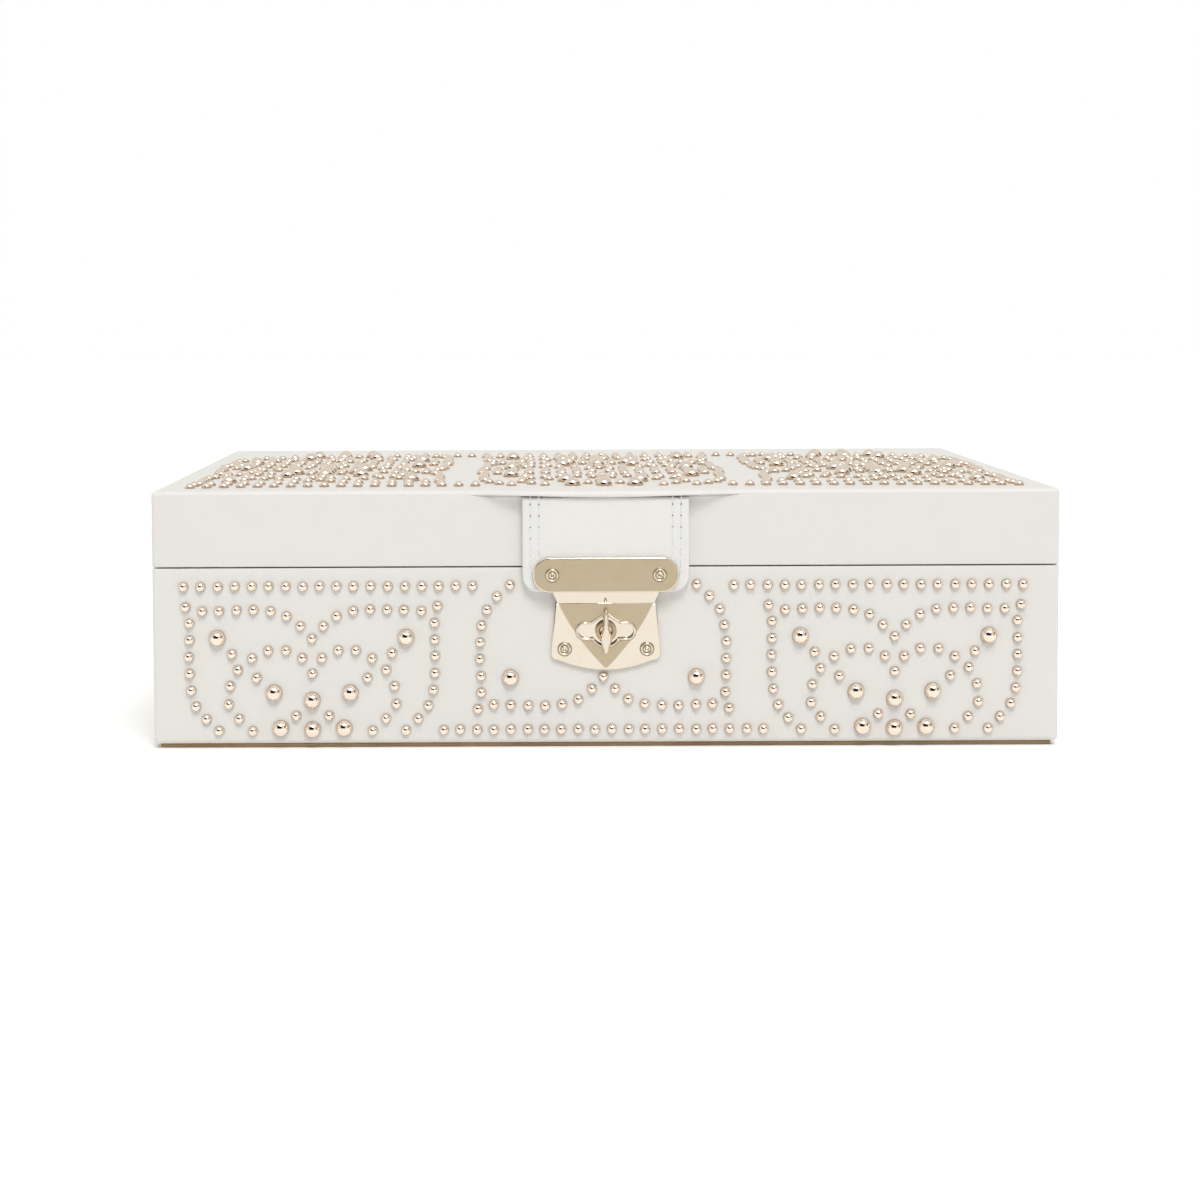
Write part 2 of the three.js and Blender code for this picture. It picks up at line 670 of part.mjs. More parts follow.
// The knob's bar, narrow at both tips and wide at its waist, with a ridged front.
function makeKnob() {
  const half = knobLength / 2;
  const outline = new THREE.Shape();
  outline.moveTo(-knobTip / 2, knobZ + half);
  outline.quadraticCurveTo(-knobTip / 2, knobZ + half * knobFlare, -knobWaist / 2, knobZ);
  outline.quadraticCurveTo(-knobTip / 2, knobZ - half * knobFlare, -knobTip / 2, knobZ - half);
  outline.lineTo(knobTip / 2, knobZ - half);
  outline.quadraticCurveTo(knobTip / 2, knobZ - half * knobFlare, knobWaist / 2, knobZ);
  outline.quadraticCurveTo(knobTip / 2, knobZ + half * knobFlare, knobTip / 2, knobZ + half);
  const ridge = new THREE.Shape();
  ridge.moveTo(-knobWaist / 2 - 1, knobBack);
  ridge.lineTo(-knobWaist / 2 - 1, knobBack - knobDepth * knobShoulder);
  ridge.lineTo(-knobTip / 2, knobFront);
  ridge.lineTo(knobTip / 2, knobFront);
  ridge.lineTo(knobWaist / 2 + 1, knobBack - knobDepth * knobShoulder);
  ridge.lineTo(knobWaist / 2 + 1, knobBack);
  const ridgeGeometry = new THREE.ExtrudeGeometry(ridge, { depth: knobLength + 2, bevelEnabled: false });
  ridgeGeometry.translate(0, 0, knobZ - half - 1);
  const stemEnd = -boardInY - fit;
  const knob = frontPlate(outline, knobBack, knobDepth, 6)
    .intersect(solid(ridgeGeometry))
    .add(bar("y", stemRadius, knobBack - 1, stemEnd, [0, knobZ]));
  placeSolid("turn_knob", knob, gold);

  const washerBack = stemEnd - fit;
  const washer = bar("y", washerRadius, washerBack - washerThick, washerBack, [0, knobZ])
    .subtract(bar("y", stemRadius + fit, washerBack - washerThick - 1, washerBack + 1, [0, knobZ]));
  placeSolid("knob_washer", washer, steel);
}

makeCase();
makeLinings();
makeDividers();
makeRingRolls();
makeLid();
makeHinges();
makeHasp();
makeLock();
makeKnob();

export default box;
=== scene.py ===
# Looks of a low leather-covered jewellery box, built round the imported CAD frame.
# Metres, +Z up, the clasp faces -Y. Sizes written in millimetres are multiplied by MM where they are used.
import contextlib
import math
import random

import bmesh
import bpy
from mathutils import Matrix, Vector, noise


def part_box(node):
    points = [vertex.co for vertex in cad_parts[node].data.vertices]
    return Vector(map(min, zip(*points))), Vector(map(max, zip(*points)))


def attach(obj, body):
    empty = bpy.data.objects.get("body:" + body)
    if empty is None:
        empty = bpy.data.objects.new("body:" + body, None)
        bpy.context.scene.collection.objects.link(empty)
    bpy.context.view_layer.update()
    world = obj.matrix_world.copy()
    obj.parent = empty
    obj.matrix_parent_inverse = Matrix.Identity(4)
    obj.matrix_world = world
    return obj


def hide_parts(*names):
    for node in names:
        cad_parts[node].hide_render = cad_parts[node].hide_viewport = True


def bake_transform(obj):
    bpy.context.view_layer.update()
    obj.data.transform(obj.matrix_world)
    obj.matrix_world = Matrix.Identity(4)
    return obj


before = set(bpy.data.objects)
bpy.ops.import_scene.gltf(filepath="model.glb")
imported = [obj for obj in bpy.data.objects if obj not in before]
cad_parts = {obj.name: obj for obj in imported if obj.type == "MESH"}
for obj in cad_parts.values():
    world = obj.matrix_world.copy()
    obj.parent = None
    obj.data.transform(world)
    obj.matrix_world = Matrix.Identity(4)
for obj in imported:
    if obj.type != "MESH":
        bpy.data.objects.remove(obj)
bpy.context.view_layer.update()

MM = 0.001
scene = bpy.context.scene

# ------------------------------------------------------------------ sizes taken from the frame

case_low, case_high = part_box("case_cover")
lid_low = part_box("lid_cover")[0]
tab_low, tab_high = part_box("clasp_tab")
hasp_low, hasp_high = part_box("hasp_plate")
lock_low, lock_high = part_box("lock_plate")
knob_low, knob_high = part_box("turn_knob")
collar_low, collar_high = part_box("lock_collar")
BASE_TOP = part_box("base_pad")[1].z

HALF_W = case_high.x
HALF_D = case_high.y
RIM = case_high.z
LID_RIM = lid_low.z
FRONT = case_low.y
LID_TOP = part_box("lid_top_board")[1].z + 2.75 * MM  # leather over foam over board
HOOD_REACH = FRONT - lid_low.y  # how far the lid's lip stands out over the tab

# ------------------------------------------------------------------ sizes of the looks, in millimetres

CORNER_RADIUS = 1.5  # upright edges
CASE_FOOT_RADIUS = 1.7  # leather turning under the case
RIM_RADIUS = 0.3  # leather turning over a rim
FLANGE = 7.1  # leather turned in over a rim
REBATE = 1.0  # depth that a hinge leaf is let in
LEAF_CLEAR = 0.2  # gap round a hinge leaf
COVER_SKIN = 0.14  # thickness of the covers' mesh
COVER_PITCH = 4.0  # spacing of the covers' mesh lines
PAD_RISE = 2.2  # the lid's padding, at the middle
PAD_MARGIN = 3.5  # level strip along the lid's top edges, before the padding rises

HOOD_FULL = 28.5  # half width over which the lip stands fully out
HOOD_FADE = 19.0  # width over which it fades on either side
HOOD_DROP = 2.2  # the lip's height, in the middle
HOOD_DROP_ENDS = 1.6  # and where it fades

SMALL_STUD = 1.85  # radii
LARGE_STUD = 2.95
STUD_JITTER = 0.12
STUD_CLEAR = 3.0  # a nailhead this near to another is left out
PANEL_PITCH = 100.0  # middle of one stud panel to the next, left to right
PANEL_HALF = 49.6  # middle of a panel to its straight row
ROW_MIDDLE = 94.3  # middle of the box to the middle of an end panel's straight row
LONG_ROW, SHORT_ROW, MIDDLE_ROW = 18, 16, 20  # nailheads in a straight row
SHORT_ROW_END = 57.0  # inner end of an end panel's short row
SHORT_ROW_HALF = 43.5  # half length of the middle panel's short row
MIDDLE_ROW_HALF = 55.0  # and of its long one
FRONT_AXIS = 6.4  # middle line of the front panels, over the ground
FRONT_SHIFT = -0.8  # the front's pattern sits a little left of the middle
LOCK_STUD = (31.9, 31.7)  # large nailhead by the lock: from the middle, and below the straight row
TOP_HALF = 41.8  # PANEL_HALF on the lid, where the panels are pressed shorter
TOP_FIRST_ROW = 12.0  # lid's front edge to the first row
TOP_ROWS = 4

STITCH_PITCH = 3.55
STITCH_LENGTH = 2.9
STITCH_WIDTH = 0.55
STITCH_ROWS = (2.8, 5.7)  # from the tab's edge

# ------------------------------------------------------------------ small helpers

def smoothstep(low, high, value):
    t = min(max((value - low) / (high - low), 0.0), 1.0)
    return t * t * (3 - 2 * t)


def new_object(name, mesh):
    obj = bpy.data.objects.new(name, mesh)
    scene.collection.objects.link(obj)
    return obj


@contextlib.contextmanager
def editing(mesh):
    """Opens a mesh for editing, and puts the result back."""
    bm = bmesh.new()
    bm.from_mesh(mesh)
    yield bm
    bm.to_mesh(mesh)
    bm.free()


def mesh_piece(name, verts, faces, material, smooth=True):
    """A mesh object from plain lists, welded, with its faces turned outwards."""
    mesh = bpy.data.meshes.new(name)
    mesh.from_pydata([tuple(v) for v in verts], [], faces)
    with editing(mesh) as bm:
        bmesh.ops.remove_doubles(bm, verts=bm.verts, dist=1e-6)
        bmesh.ops.dissolve_degenerate(bm, dist=1e-7, edges=bm.edges)
        bmesh.ops.recalc_face_normals(bm, faces=bm.faces)
    for polygon in mesh.polygons:
        polygon.use_smooth = smooth
    mesh.materials.append(material)
    return new_object(name, mesh)


def ring_faces(rows, count, closed=False, capped=False):
    """Quads between rings of points; `closed` joins the last ring to the first, `capped` fills the ends."""
    faces = []
    for j in range(rows if closed else rows - 1):
        here, there = j * count, (j + 1) % rows * count
        for k in range(count):
            after = (k + 1) % count
            faces.append((here + k, here + after, there + after, there + k))
    if capped:
        faces += [tuple(range(count)), tuple(range((rows - 1) * count, rows * count))]
    return faces


def grid_faces(first, across, rows):
    """Quads between rows of `across` points, from the point numbered `first`."""
    corners = [first + j * across + i for j in range(rows - 1) for i in range(across - 1)]
    return [(a, a + 1, a + 1 + across, a + across) for a in corners]


def arc(centre_x, centre_z, radius, start, stop, steps):
    out = []
    for k in range(steps + 1):
        angle = math.radians(start + (stop - start) * k / steps)
        out.append((centre_x + radius * math.cos(angle), centre_z + radius * math.sin(angle)))
    return out


def freeze(obj):
    """Replaces an object by its evaluated mesh, with no modifiers and no transform."""
    bpy.context.view_layer.update()
    depsgraph = bpy.context.evaluated_depsgraph_get()
    mesh = bpy.data.meshes.new_from_object(obj.evaluated_get(depsgraph), depsgraph=depsgraph)
    mesh.transform(obj.matrix_world)
    name = obj.name
    bpy.data.objects.remove(obj)
    mesh.name = name
    return new_object(name, mesh)


def modify(obj, kind, **settings):
    modifier = obj.modifiers.new(kind.lower(), kind)
    for key, value in settings.items():
        setattr(modifier, key, value)
    return modifier


def sharpen(obj, angle=35):
    """Smooth shading, with edges sharper than the angle left crisp."""
    for polygon in obj.data.polygons:
        polygon.use_smooth = True
    obj.data.set_sharp_from_angle(angle=math.radians(angle))


def settle(obj, body, slot, *replaced):
    """Puts a finished piece on its body, and hides the CAD nodes that it replaces; `slot` is not used."""
    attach(obj, body)
    if replaced:
        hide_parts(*replaced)
    return obj


def spline(points, steps=24):
    """A smooth curve through a few points, as many short steps."""
    out = []
    padded = [points[0]] + list(points) + [points[-1]]
    for i in range(len(points) - 1):
        p0, p1, p2, p3 = (Vector(p) for p in padded[i:i + 4])
        for k in range(steps):
            t = k / steps
            out.append(
                0.5 * (2 * p1 + (p2 - p0) * t + (2 * p0 - 5 * p1 + 4 * p2 - p3) * t * t
                       + (3 * p1 - p0 - 3 * p2 + p3) * t ** 3)
            )
    out.append(Vector(points[-1]))
    return out


def evenly(path, count):
    """`count` points at equal distances along a path, both ends included."""
    lengths = [0.0]
    for a, b in zip(path, path[1:]):
        lengths.append(lengths[-1] + (b - a).length)
    out = []
    for k in range(count):
        want = lengths[-1] * k / (count - 1)
        i = next((i for i in range(1, len(path)) if lengths[i] >= want - 1e-9), len(path) - 1)
        span = lengths[i] - lengths[i - 1]
        t = (want - lengths[i - 1]) / span if span else 0.0
        out.append(path[i - 1].lerp(path[i], t))
    return out


# ------------------------------------------------------------------ shader nodes

def node_group(name, inputs, outputs, kind="ShaderNodeTree"):
    """A node tree with its sockets, and its start and end nodes."""
    tree = bpy.data.node_groups.new(name, kind)
    for label, value_kind, default in inputs:
        socket = tree.interface.new_socket(label, in_out="INPUT", socket_type="NodeSocket" + value_kind)
        if default is not None:
            socket.default_value = default
    for label, value_kind in outputs:
        tree.interface.new_socket(label, in_out="OUTPUT", socket_type="NodeSocket" + value_kind)
    return tree, tree.nodes.new("NodeGroupInput"), tree.nodes.new("NodeGroupOutput")


def add_node(tree, kind, links=None, **settings):
    """Makes a node; `links` maps an input to a value or to another node's output."""
    node = tree.nodes.new(kind)
    for key, value in settings.items():
        setattr(node, key, value)
    for key, value in (links or {}).items():
        if isinstance(value, bpy.types.NodeSocket):
            tree.links.new(value, node.inputs[key])
        else:
            node.inputs[key].default_value = value
    return node


def use_group(tree, group, **values):
    return add_node(tree, "ShaderNodeGroup", values, node_tree=group)


def noise_value(tree, place, scale, detail=2.0, roughness=0.5, distortion=0.0):
    sockets = {"Vector": place, "Scale": scale, "Detail": detail, "Roughness": roughness,
               "Distortion": distortion}
    return add_node(tree, "ShaderNodeTexNoise", sockets).outputs["Fac"]


def soft_step(tree, value, start, stop):
    """From 0 at `start` to 1 at `stop`, smoothly."""
    return add_node(tree, "ShaderNodeMapRange", {"Value": value, "From Min": start, "From Max": stop},
                    interpolation_type="SMOOTHSTEP").outputs[0]


def times(tree, a, b):
    return add_node(tree, "ShaderNodeMath", {0: a, 1: b}, operation="MULTIPLY").outputs[0]


def blend_colours(tree, factor, low, high):
    """A mix of two colours; each is three numbers or another node's output."""
    low, high = (c if isinstance(c, bpy.types.NodeSocket) else (*c, 1) for c in (low, high))
    return add_node(tree, "ShaderNodeMix", {0: factor, 6: low, 7: high}, data_type="RGBA").outputs[2]


def leather_grain_group():
    """Fine pebbled grain with soft creases, and a slow drift of tone."""
    tree, start, end = node_group(
        "leather_grain",
        [("Vector", "Vector", None), ("Cells", "Float", 1500.0), ("Crease", "Float", 0.4),
         ("Drift", "Float", 14.0)],
        [("Height", "Float"), ("Tone", "Float")],
    )
    place = start.outputs["Vector"]
    cells = add_node(tree, "ShaderNodeTexVoronoi", {"Vector": place, "Scale": start.outputs["Cells"],
                     "Randomness": 0.9}, feature="DISTANCE_TO_EDGE")
    pebbles = soft_step(tree, cells.outputs["Distance"], 0.0, 0.22)
    creases = noise_value(tree, place, 220.0, 4.0, 0.6)
    mixed = add_node(tree, "ShaderNodeMix", {0: start.outputs["Crease"], 2: pebbles, 3: creases})
    tree.links.new(mixed.outputs[0], end.inputs["Height"])
    tree.links.new(noise_value(tree, place, start.outputs["Drift"], 3.0), end.inputs["Tone"])
    return tree


def handling_group():
    """Faint rubbed patches, from 0, untouched, to 1."""
    tree, start, end = node_group(
        "handling_marks", [("Vector", "Vector", None), ("Scale", "Float", 30.0), ("Amount", "Float", 0.5)],
        [("Mask", "Float")])
    patches = noise_value(tree, start.outputs["Vector"], start.outputs["Scale"], 5.0, 0.65, 0.4)
    rubbed = soft_step(tree, patches, 0.45, 0.75)
    tree.links.new(times(tree, rubbed, start.outputs["Amount"]), end.inputs["Mask"])
    return tree


def brushing_group():
    """Fine straight scratches along one direction."""
    tree, start, end = node_group(
        "brushing", [("Vector", "Vector", None), ("Stretch", "Vector", (60.0, 4000.0, 4000.0))],
        [("Lines", "Float")])
    scaled = add_node(tree, "ShaderNodeVectorMath", {0: start.outputs["Vector"], 1: start.outputs["Stretch"]},
                      operation="MULTIPLY")
    tree.links.new(noise_value(tree, scaled.outputs[0], 1.0, 3.0, 0.6), end.inputs["Lines"])
    return tree


def nap_group():
    """Short brushed pile: tiny fibres and broad strokes where it lies the other way."""
    tree, start, end = node_group(
        "nap", [("Vector", "Vector", None), ("Fibre", "Float", 2600.0), ("Stroke", "Float", 28.0)],
        [("Height", "Float"), ("Strokes", "Float")])
    place = start.outputs["Vector"]
    strokes = noise_value(tree, place, start.outputs["Stroke"], 2.0, 0.5, 0.8)
    tree.links.new(noise_value(tree, place, start.outputs["Fibre"], 4.0, 0.7), end.inputs["Height"])
    tree.links.new(soft_step(tree, strokes, 0.35, 0.65), end.inputs["Strokes"])
    return tree


GRAIN = leather_grain_group()
HANDLING = handling_group()
BRUSHING = brushing_group()
NAP = nap_group()


# ------------------------------------------------------------------ materials

class Finish:
    """A material in the making: its node tree, its shader and the place on the piece."""

    def __init__(self, name, **principled):
        self.material = bpy.data.materials.new(name)
        self.material.use_nodes = True
        self.tree = self.material.node_tree
        self.shader = self.tree.nodes["Principled BSDF"]
        for key, value in principled.items():
            self.shader.inputs[key.replace("_", " ")].default_value = value
        self.place = self.tree.nodes.new("ShaderNodeTexCoord").outputs["Object"]

    def link(self, output, socket):
        self.tree.links.new(output, self.shader.inputs[socket])

    def colour(self, factor, low, high):
        self.link(blend_colours(self.tree, factor, low, high), "Base Color")

    def roughness(self, factor, low, high):
        mapped = add_node(self.tree, "ShaderNodeMapRange", {"Value": factor, "To Min": low, "To Max": high})
        self.link(mapped.outputs[0], "Roughness")

    def bump(self, height, distance, strength=1.0):
        sockets = {"Height": height, "Distance": distance, "Strength": strength}
        raised = add_node(self.tree, "ShaderNodeBump", sockets)
        self.link(raised.outputs["Normal"], "Normal")

    def marks(self, scale, amount):
        return use_group(self.tree, HANDLING, Vector=self.place, Scale=scale, Amount=amount).outputs["Mask"]


def leather_material(name, light, dark):
    finish = Finish(name, Specular_IOR_Level=0.42, Coat_Weight=0.08, Coat_Roughness=0.35)
    grain = use_group(finish.tree, GRAIN, Vector=finish.place)
    finish.colour(grain.outputs["Tone"], dark, light)
    finish.roughness(finish.marks(18.0, 0.8), 0.52, 0.42)
    finish.bump(grain.outputs["Height"], 0.04 * MM, 0.5)
    return finish.material


def metal_material(name, light, dark, roughness, brushed=None):
    finish = Finish(name, Metallic=1.0)
    marks = finish.marks(160.0, 0.6)
    finish.colour(marks, light, dark)
    if brushed:
        lines = use_group(finish.tree, BRUSHING, Vector=finish.place, Stretch=brushed).outputs["Lines"]
        finish.roughness(lines, *roughness)
        finish.bump(lines, 0.006 * MM, 0.5)
    else:
        finish.roughness(marks, *roughness)
    return finish.material


def suede_material(name, light, dark):
    finish = Finish(name, Roughness=0.92, Specular_IOR_Level=0.15, Sheen_Weight=0.35, Sheen_Roughness=0.4)
    nap = use_group(finish.tree, NAP, Vector=finish.place)
    finish.colour(nap.outputs["Strokes"], dark, light)
    finish.bump(nap.outputs["Height"], 0.15 * MM, 0.7)
    return finish.material


def board_material():
    finish = Finish("fibreboard", Roughness=0.85, Specular_IOR_Level=0.2)
    fibres = noise_value(finish.tree, finish.place, 700.0, 6.0)
    finish.colour(fibres, (0.30, 0.20, 0.11), (0.52, 0.38, 0.23))
    finish.bump(fibres, 0.1 * MM, 0.5)
    return finish.material


def foam_material():
    finish = Finish("pad_foam", Roughness=0.95)
    cells = add_node(finish.tree, "ShaderNodeTexVoronoi", {"Vector": finish.place, "Scale": 1400.0})
    finish.colour(cells.outputs["Distance"], (0.55, 0.52, 0.46), (0.82, 0.80, 0.74))
    finish.bump(cells.outputs["Distance"], 0.2 * MM)
    return finish.material


def thread_material():
    finish = Finish("sewing_thread", Roughness=0.6, Sheen_Weight=0.3)
    twist = add_node(finish.tree, "ShaderNodeTexWave",
                     {"Vector": finish.place, "Scale": 900.0, "Distortion": 1.0}, bands_direction="DIAGONAL")
    finish.colour(twist.outputs["Fac"], (0.66, 0.68, 0.78), (0.86, 0.87, 0.93))
    finish.bump(twist.outputs["Fac"], 0.08 * MM)
    return finish.material


# Dark blue-grey dots: painted shade of the needle holes, laid as low beads on the tab.
def hole_shade_material():
    finish = Finish("needle_hole_shade", Roughness=0.9)
    finish.colour(noise_value(finish.tree, finish.place, 3000.0), (0.16, 0.16, 0.22), (0.34, 0.33, 0.38))
    return finish.material


def mirror_material():
    finish = Finish("mirror_glass", Metallic=1.0, IOR=1.5, Coat_Weight=0.6)
    haze = finish.marks(12.0, 0.3)
    finish.colour(haze, (0.88, 0.90, 0.90), (0.80, 0.83, 0.84))
    finish.roughness(haze, 0.015, 0.06)
    return finish.material


def nailhead_material():
    """Rose-gold plating, with painted shade: a darker tan towards the nail's foot, where the stud meets the
    leather.
    """
    finish = Finish("nailhead_gold", Metallic=1.0)
    foot = add_node(finish.tree, "ShaderNodeAttribute", attribute_name="foot").outputs["Fac"]
    marks = finish.marks(90.0, 0.5)
    crown = blend_colours(finish.tree, marks, (0.90, 0.79, 0.68), (0.84, 0.71, 0.58))
    # painted shade: the crown's colour turns a dark tan towards the dome's foot
    finish.colour(soft_step(finish.tree, foot, 0.45, 0.95), crown, (0.52, 0.36, 0.23))
    finish.roughness(marks, 0.04, 0.09)
    return finish.material


WHITE_LEATHER = leather_material("white_leather", (0.720, 0.705, 0.675), (0.700, 0.683, 0.652))
TAB_LEATHER = leather_material("tab_leather", (0.75, 0.74, 0.715), (0.73, 0.72, 0.69))
POLISHED_GOLD = metal_material("polished_gold", (0.79, 0.71, 0.60), (0.76, 0.67, 0.545), (0.07, 0.14))
STUD_GOLD = nailhead_material()
# Brushed gold for the hasp's front faces: the brushing is real, and its darker tone is a painted reflection
# of the dark surroundings in front.
BRUSHED_SHADED_GOLD = metal_material("brushed_shaded_gold", (0.57, 0.47, 0.325), (0.535, 0.44, 0.295), (0.28, 0.42),
                              brushed=(60.0, 4000.0, 4000.0))
# Dark brushed gold as painted shade: the recessed collar, and the dark lines in rivet grooves, round rivet
# feet and beside the slot.
SHADE_GOLD = metal_material("painted_shade_gold", (0.50, 0.39, 0.24), (0.44, 0.33, 0.19), (0.25, 0.38),
                             brushed=(4000.0, 60.0, 4000.0))
PIN_STEEL = metal_material("pin_steel", (0.62, 0.62, 0.60), (0.5, 0.5, 0.48), (0.2, 0.35))
SUEDE = suede_material("tan_suede", (0.40, 0.285, 0.18), (0.33, 0.23, 0.14))
ROLL_SUEDE = suede_material("roll_suede", (0.42, 0.30, 0.19), (0.34, 0.24, 0.15))
BASE_CLOTH = suede_material("base_cloth", (0.44, 0.30, 0.17), (0.36, 0.24, 0.13))
FIBREBOARD = board_material()
FOAM = foam_material()
THREAD = thread_material()
NEEDLE_HOLE_SHADE = hole_shade_material()
MIRROR = mirror_material()

# ------------------------------------------------------------------ camera, floor and light

CAMERA_PLACE = Vector((-25.4, FRONT / MM - 751.0, 151.1)) * MM
CAMERA_TURN = (math.radians(90 - 3.23), math.radians(0.24), math.radians(0.06))
CAMERA_LENS = 66.1
CAMERA_SHIFT = (0.06, -0.14)  # a view camera's lens shift, which keeps upright edges nearly upright


def hang(name, data, place, turn):
    """Puts a camera or a lamp into the scene."""
    holder = bpy.data.objects.new(name, data)
    holder.location = place
    holder.rotation_euler = turn
    scene.collection.objects.link(holder)
    return holder


def facing(direction):
    return direction.to_track_quat("-Z", "Y").to_euler()


def make_camera():
    camera = bpy.data.cameras.new("camera")
    camera.lens = CAMERA_LENS
    camera.sensor_width = 36.0
    camera.shift_x, camera.shift_y = CAMERA_SHIFT
    camera.clip_start, camera.clip_end = 0.05, 20.0
    scene.camera = hang("camera", camera, CAMERA_PLACE, CAMERA_TURN)


def make_floor():
    size = 6.0
    verts = [(-size, -size, 0), (size, -size, 0), (size, size, 0), (-size, size, 0)]
    finish = Finish("studio_floor", Roughness=0.8)
    finish.colour(noise_value(finish.tree, finish.place, 3.0), (0.96, 0.96, 0.96), (0.98, 0.98, 0.98))
    mesh_piece("studio_floor", verts, [(0, 1, 2, 3)], finish.material, smooth=False)


TENT_WHITE = (1.0, 1.0, 0.995)
TENT_ROOF = (0.77, 0.765, 0.745)
TENT_DARK = (0.01, 0.008, 0.006)
TENT_FLAG = (0.10, 0.085, 0.07)


def between(tree, value, start, stop):
    """1 where the value lies between start and stop, with soft edges."""
    soft = 0.05
    return times(tree, soft_step(tree, value, start - soft, start + soft),
                 soft_step(tree, value, stop + soft, stop - soft))


def make_tent():
    """A light tent, white round the horizon and greyer overhead. It has two dark places for bright metal
    to mirror: an opening in front, above eye level, and a narrow flag at the right."""
    world = bpy.data.worlds.new("light_tent")
    world.use_nodes = True
    tree = world.node_tree
    way = add_node(tree, "ShaderNodeTexCoord").outputs["Generated"]
    across, along, up = add_node(tree, "ShaderNodeSeparateXYZ", {0: way}).outputs
    opening = times(tree, between(tree, across, -0.72, 0.30), between(tree, up, 0.10, 0.64))
    opening = times(tree, opening, soft_step(tree, along, 0.0, -0.2))
    flag = times(tree, between(tree, across, 0.80, 0.94), between(tree, up, 0.12, 0.52))
    cloth = blend_colours(tree, soft_step(tree, up, 0.16, 0.30), TENT_WHITE, TENT_ROOF)
    flagged = blend_colours(tree, flag, cloth, TENT_FLAG)
    tree.links.new(blend_colours(tree, opening, flagged, TENT_DARK), tree.nodes["Background"].inputs["Color"])
    scene.world = world


def make_light():
    """The tent, a strip softbox overhead and one big soft lamp high in front, for gentle shadows."""
    make_tent()
    strip = bpy.data.lights.new("strip_softbox", "AREA")
    strip.shape = "RECTANGLE"
    strip.size, strip.size_y = 1.5, 0.22
    strip.energy = 1.7
    place = Vector((0.0, -0.66, 1.05))
    hang("strip_softbox", strip, place, facing(Vector((0, 0, 0.05)) - place))
    lamp = bpy.data.lights.new("front_lamp", "SUN")
    lamp.energy, lamp.angle = 1.5, math.radians(24)
    hang("front_lamp", lamp, (0, 0, 0), facing(Vector((-0.10, 0.56, -0.82))))
    scene.view_settings.view_transform = "Standard"


make_camera()
make_floor()
make_light()


# ------------------------------------------------------------------ leather covers

def side_lines(half, radius, pitch, extra=()):
    """Mesh lines across one side: even ones, closer ones in the rounded corners, and any extra."""
    corner = [half - radius * (1 - math.tan(math.radians(a))) for a in (0, 11.25, 22.5, 33.75, 45)]
    inner = half - radius
    count = max(2, round(2 * inner / pitch))
    lines = [-inner + 2 * inner * k / count for k in range(count + 1)]
    lines = [v for v in lines if all(abs(v - e) > pitch * 0.35 for e in extra)]
    lines += list(extra) + corner + [-c for c in corner]
    return sorted(set(round(v, 7) for v in lines))


def perimeter(xs, ys, half_x, half_y):
    front = [(x, -half_y) for x in xs]
    right = [(half_x, y) for y in ys[1:]]
    back = [(x, half_y) for x in reversed(xs[:-1])]
    left = [(-half_x, y) for y in reversed(ys[1:-1])]
    return front + right + back + left


def inset_point(x, y, inset, half_x, half_y, radius):
    """A point of the square outline, moved in by `inset`, with the upright edge rounded."""
    if inset >= radius:
        return (min(max(x, inset - half_x), half_x - inset), min(max(y, inset - half_y), half_y - inset))
    core_x = min(max(x, radius - half_x), half_x - radius)
    core_y = min(max(y, radius - half_y), half_y - radius)
    away = Vector((x - core_x, y - core_y))
    away = away.normalized() * (radius - inset)
    return (core_x + away.x, core_y + away.y)


def stack_rows(rows, outline, half_x, half_y, radius, bend):
    """Rings of points, one for each (inset, height) row, joined by quads."""
    verts = []
    for inset, z in rows:
        for x, y in outline:
            px, py = inset_point(x, y, inset, half_x, half_y, radius)
            verts.append(bend(px, py, z, x, y))
    return verts, ring_faces(len(rows), len(outline))


def arc_rows(centre_inset, centre_z, radius, start, stop, steps=5):
    """Rows round an edge; 0 degrees points outwards and 90 up."""
    return [(2 * centre_inset - x, z) for x, z in arc(centre_inset, centre_z, radius, start, stop, steps)]


def ripple(x, y, z):
    """The slight unevenness of hand-laid leather."""
    return noise.noise(Vector((x, y, z)) * 22.0) * 0.06 * MM


HINGES = [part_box("hinge_left_case_leaf"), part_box("hinge_right_case_leaf")]


def hinge_lines():
    """Mesh lines on both sides of each hinge rebate."""
    clear = LEAF_CLEAR * MM
    lines = []
    for low, high in HINGES:
        lines += [low.x - 2 * clear, low.x - clear, high.x + clear, high.x + 2 * clear]
    return lines


def in_rebate(x, y, z_from_rim):
    """True for the leather that a hinge leaf presses down."""
    clear = 1.5 * LEAF_CLEAR * MM
    over = any(low.x - clear < x < high.x + clear for low, high in HINGES)
    return over and y > HALF_D - 8 * MM and z_from_rim < 1.1 * MM


def uneven_walls(x, y, outline_x, outline_y, push):
    """Moves a point of a wall out by `push`."""
    if abs(outline_y) >= HALF_D - 1e-6:
        y += push
    if abs(outline_x) >= HALF_W - 1e-6:
        x += push
    return x, y


def finish_cover(body, verts, faces, middle_z):
    """Turns an open cover's faces away from its middle, thickens it and puts it on its body."""
    cover = mesh_piece(f"{body}_leather", verts, faces, WHITE_LEATHER)
    middle = Vector((0, 0, middle_z))
    if sum((p.normal.dot(p.center - middle) * p.area for p in cover.data.polygons), 0.0) < 0:
        cover.data.flip_normals()
    modify(cover, "SOLIDIFY", thickness=COVER_SKIN * MM, offset=-1.0)
    return settle(freeze(cover), body, "leather", f"{body}_cover")


def cover_lines(radius):
    xs = side_lines(HALF_W, radius, COVER_PITCH * MM, hinge_lines())
    ys = side_lines(HALF_D, radius, COVER_PITCH * MM)
    return xs, ys


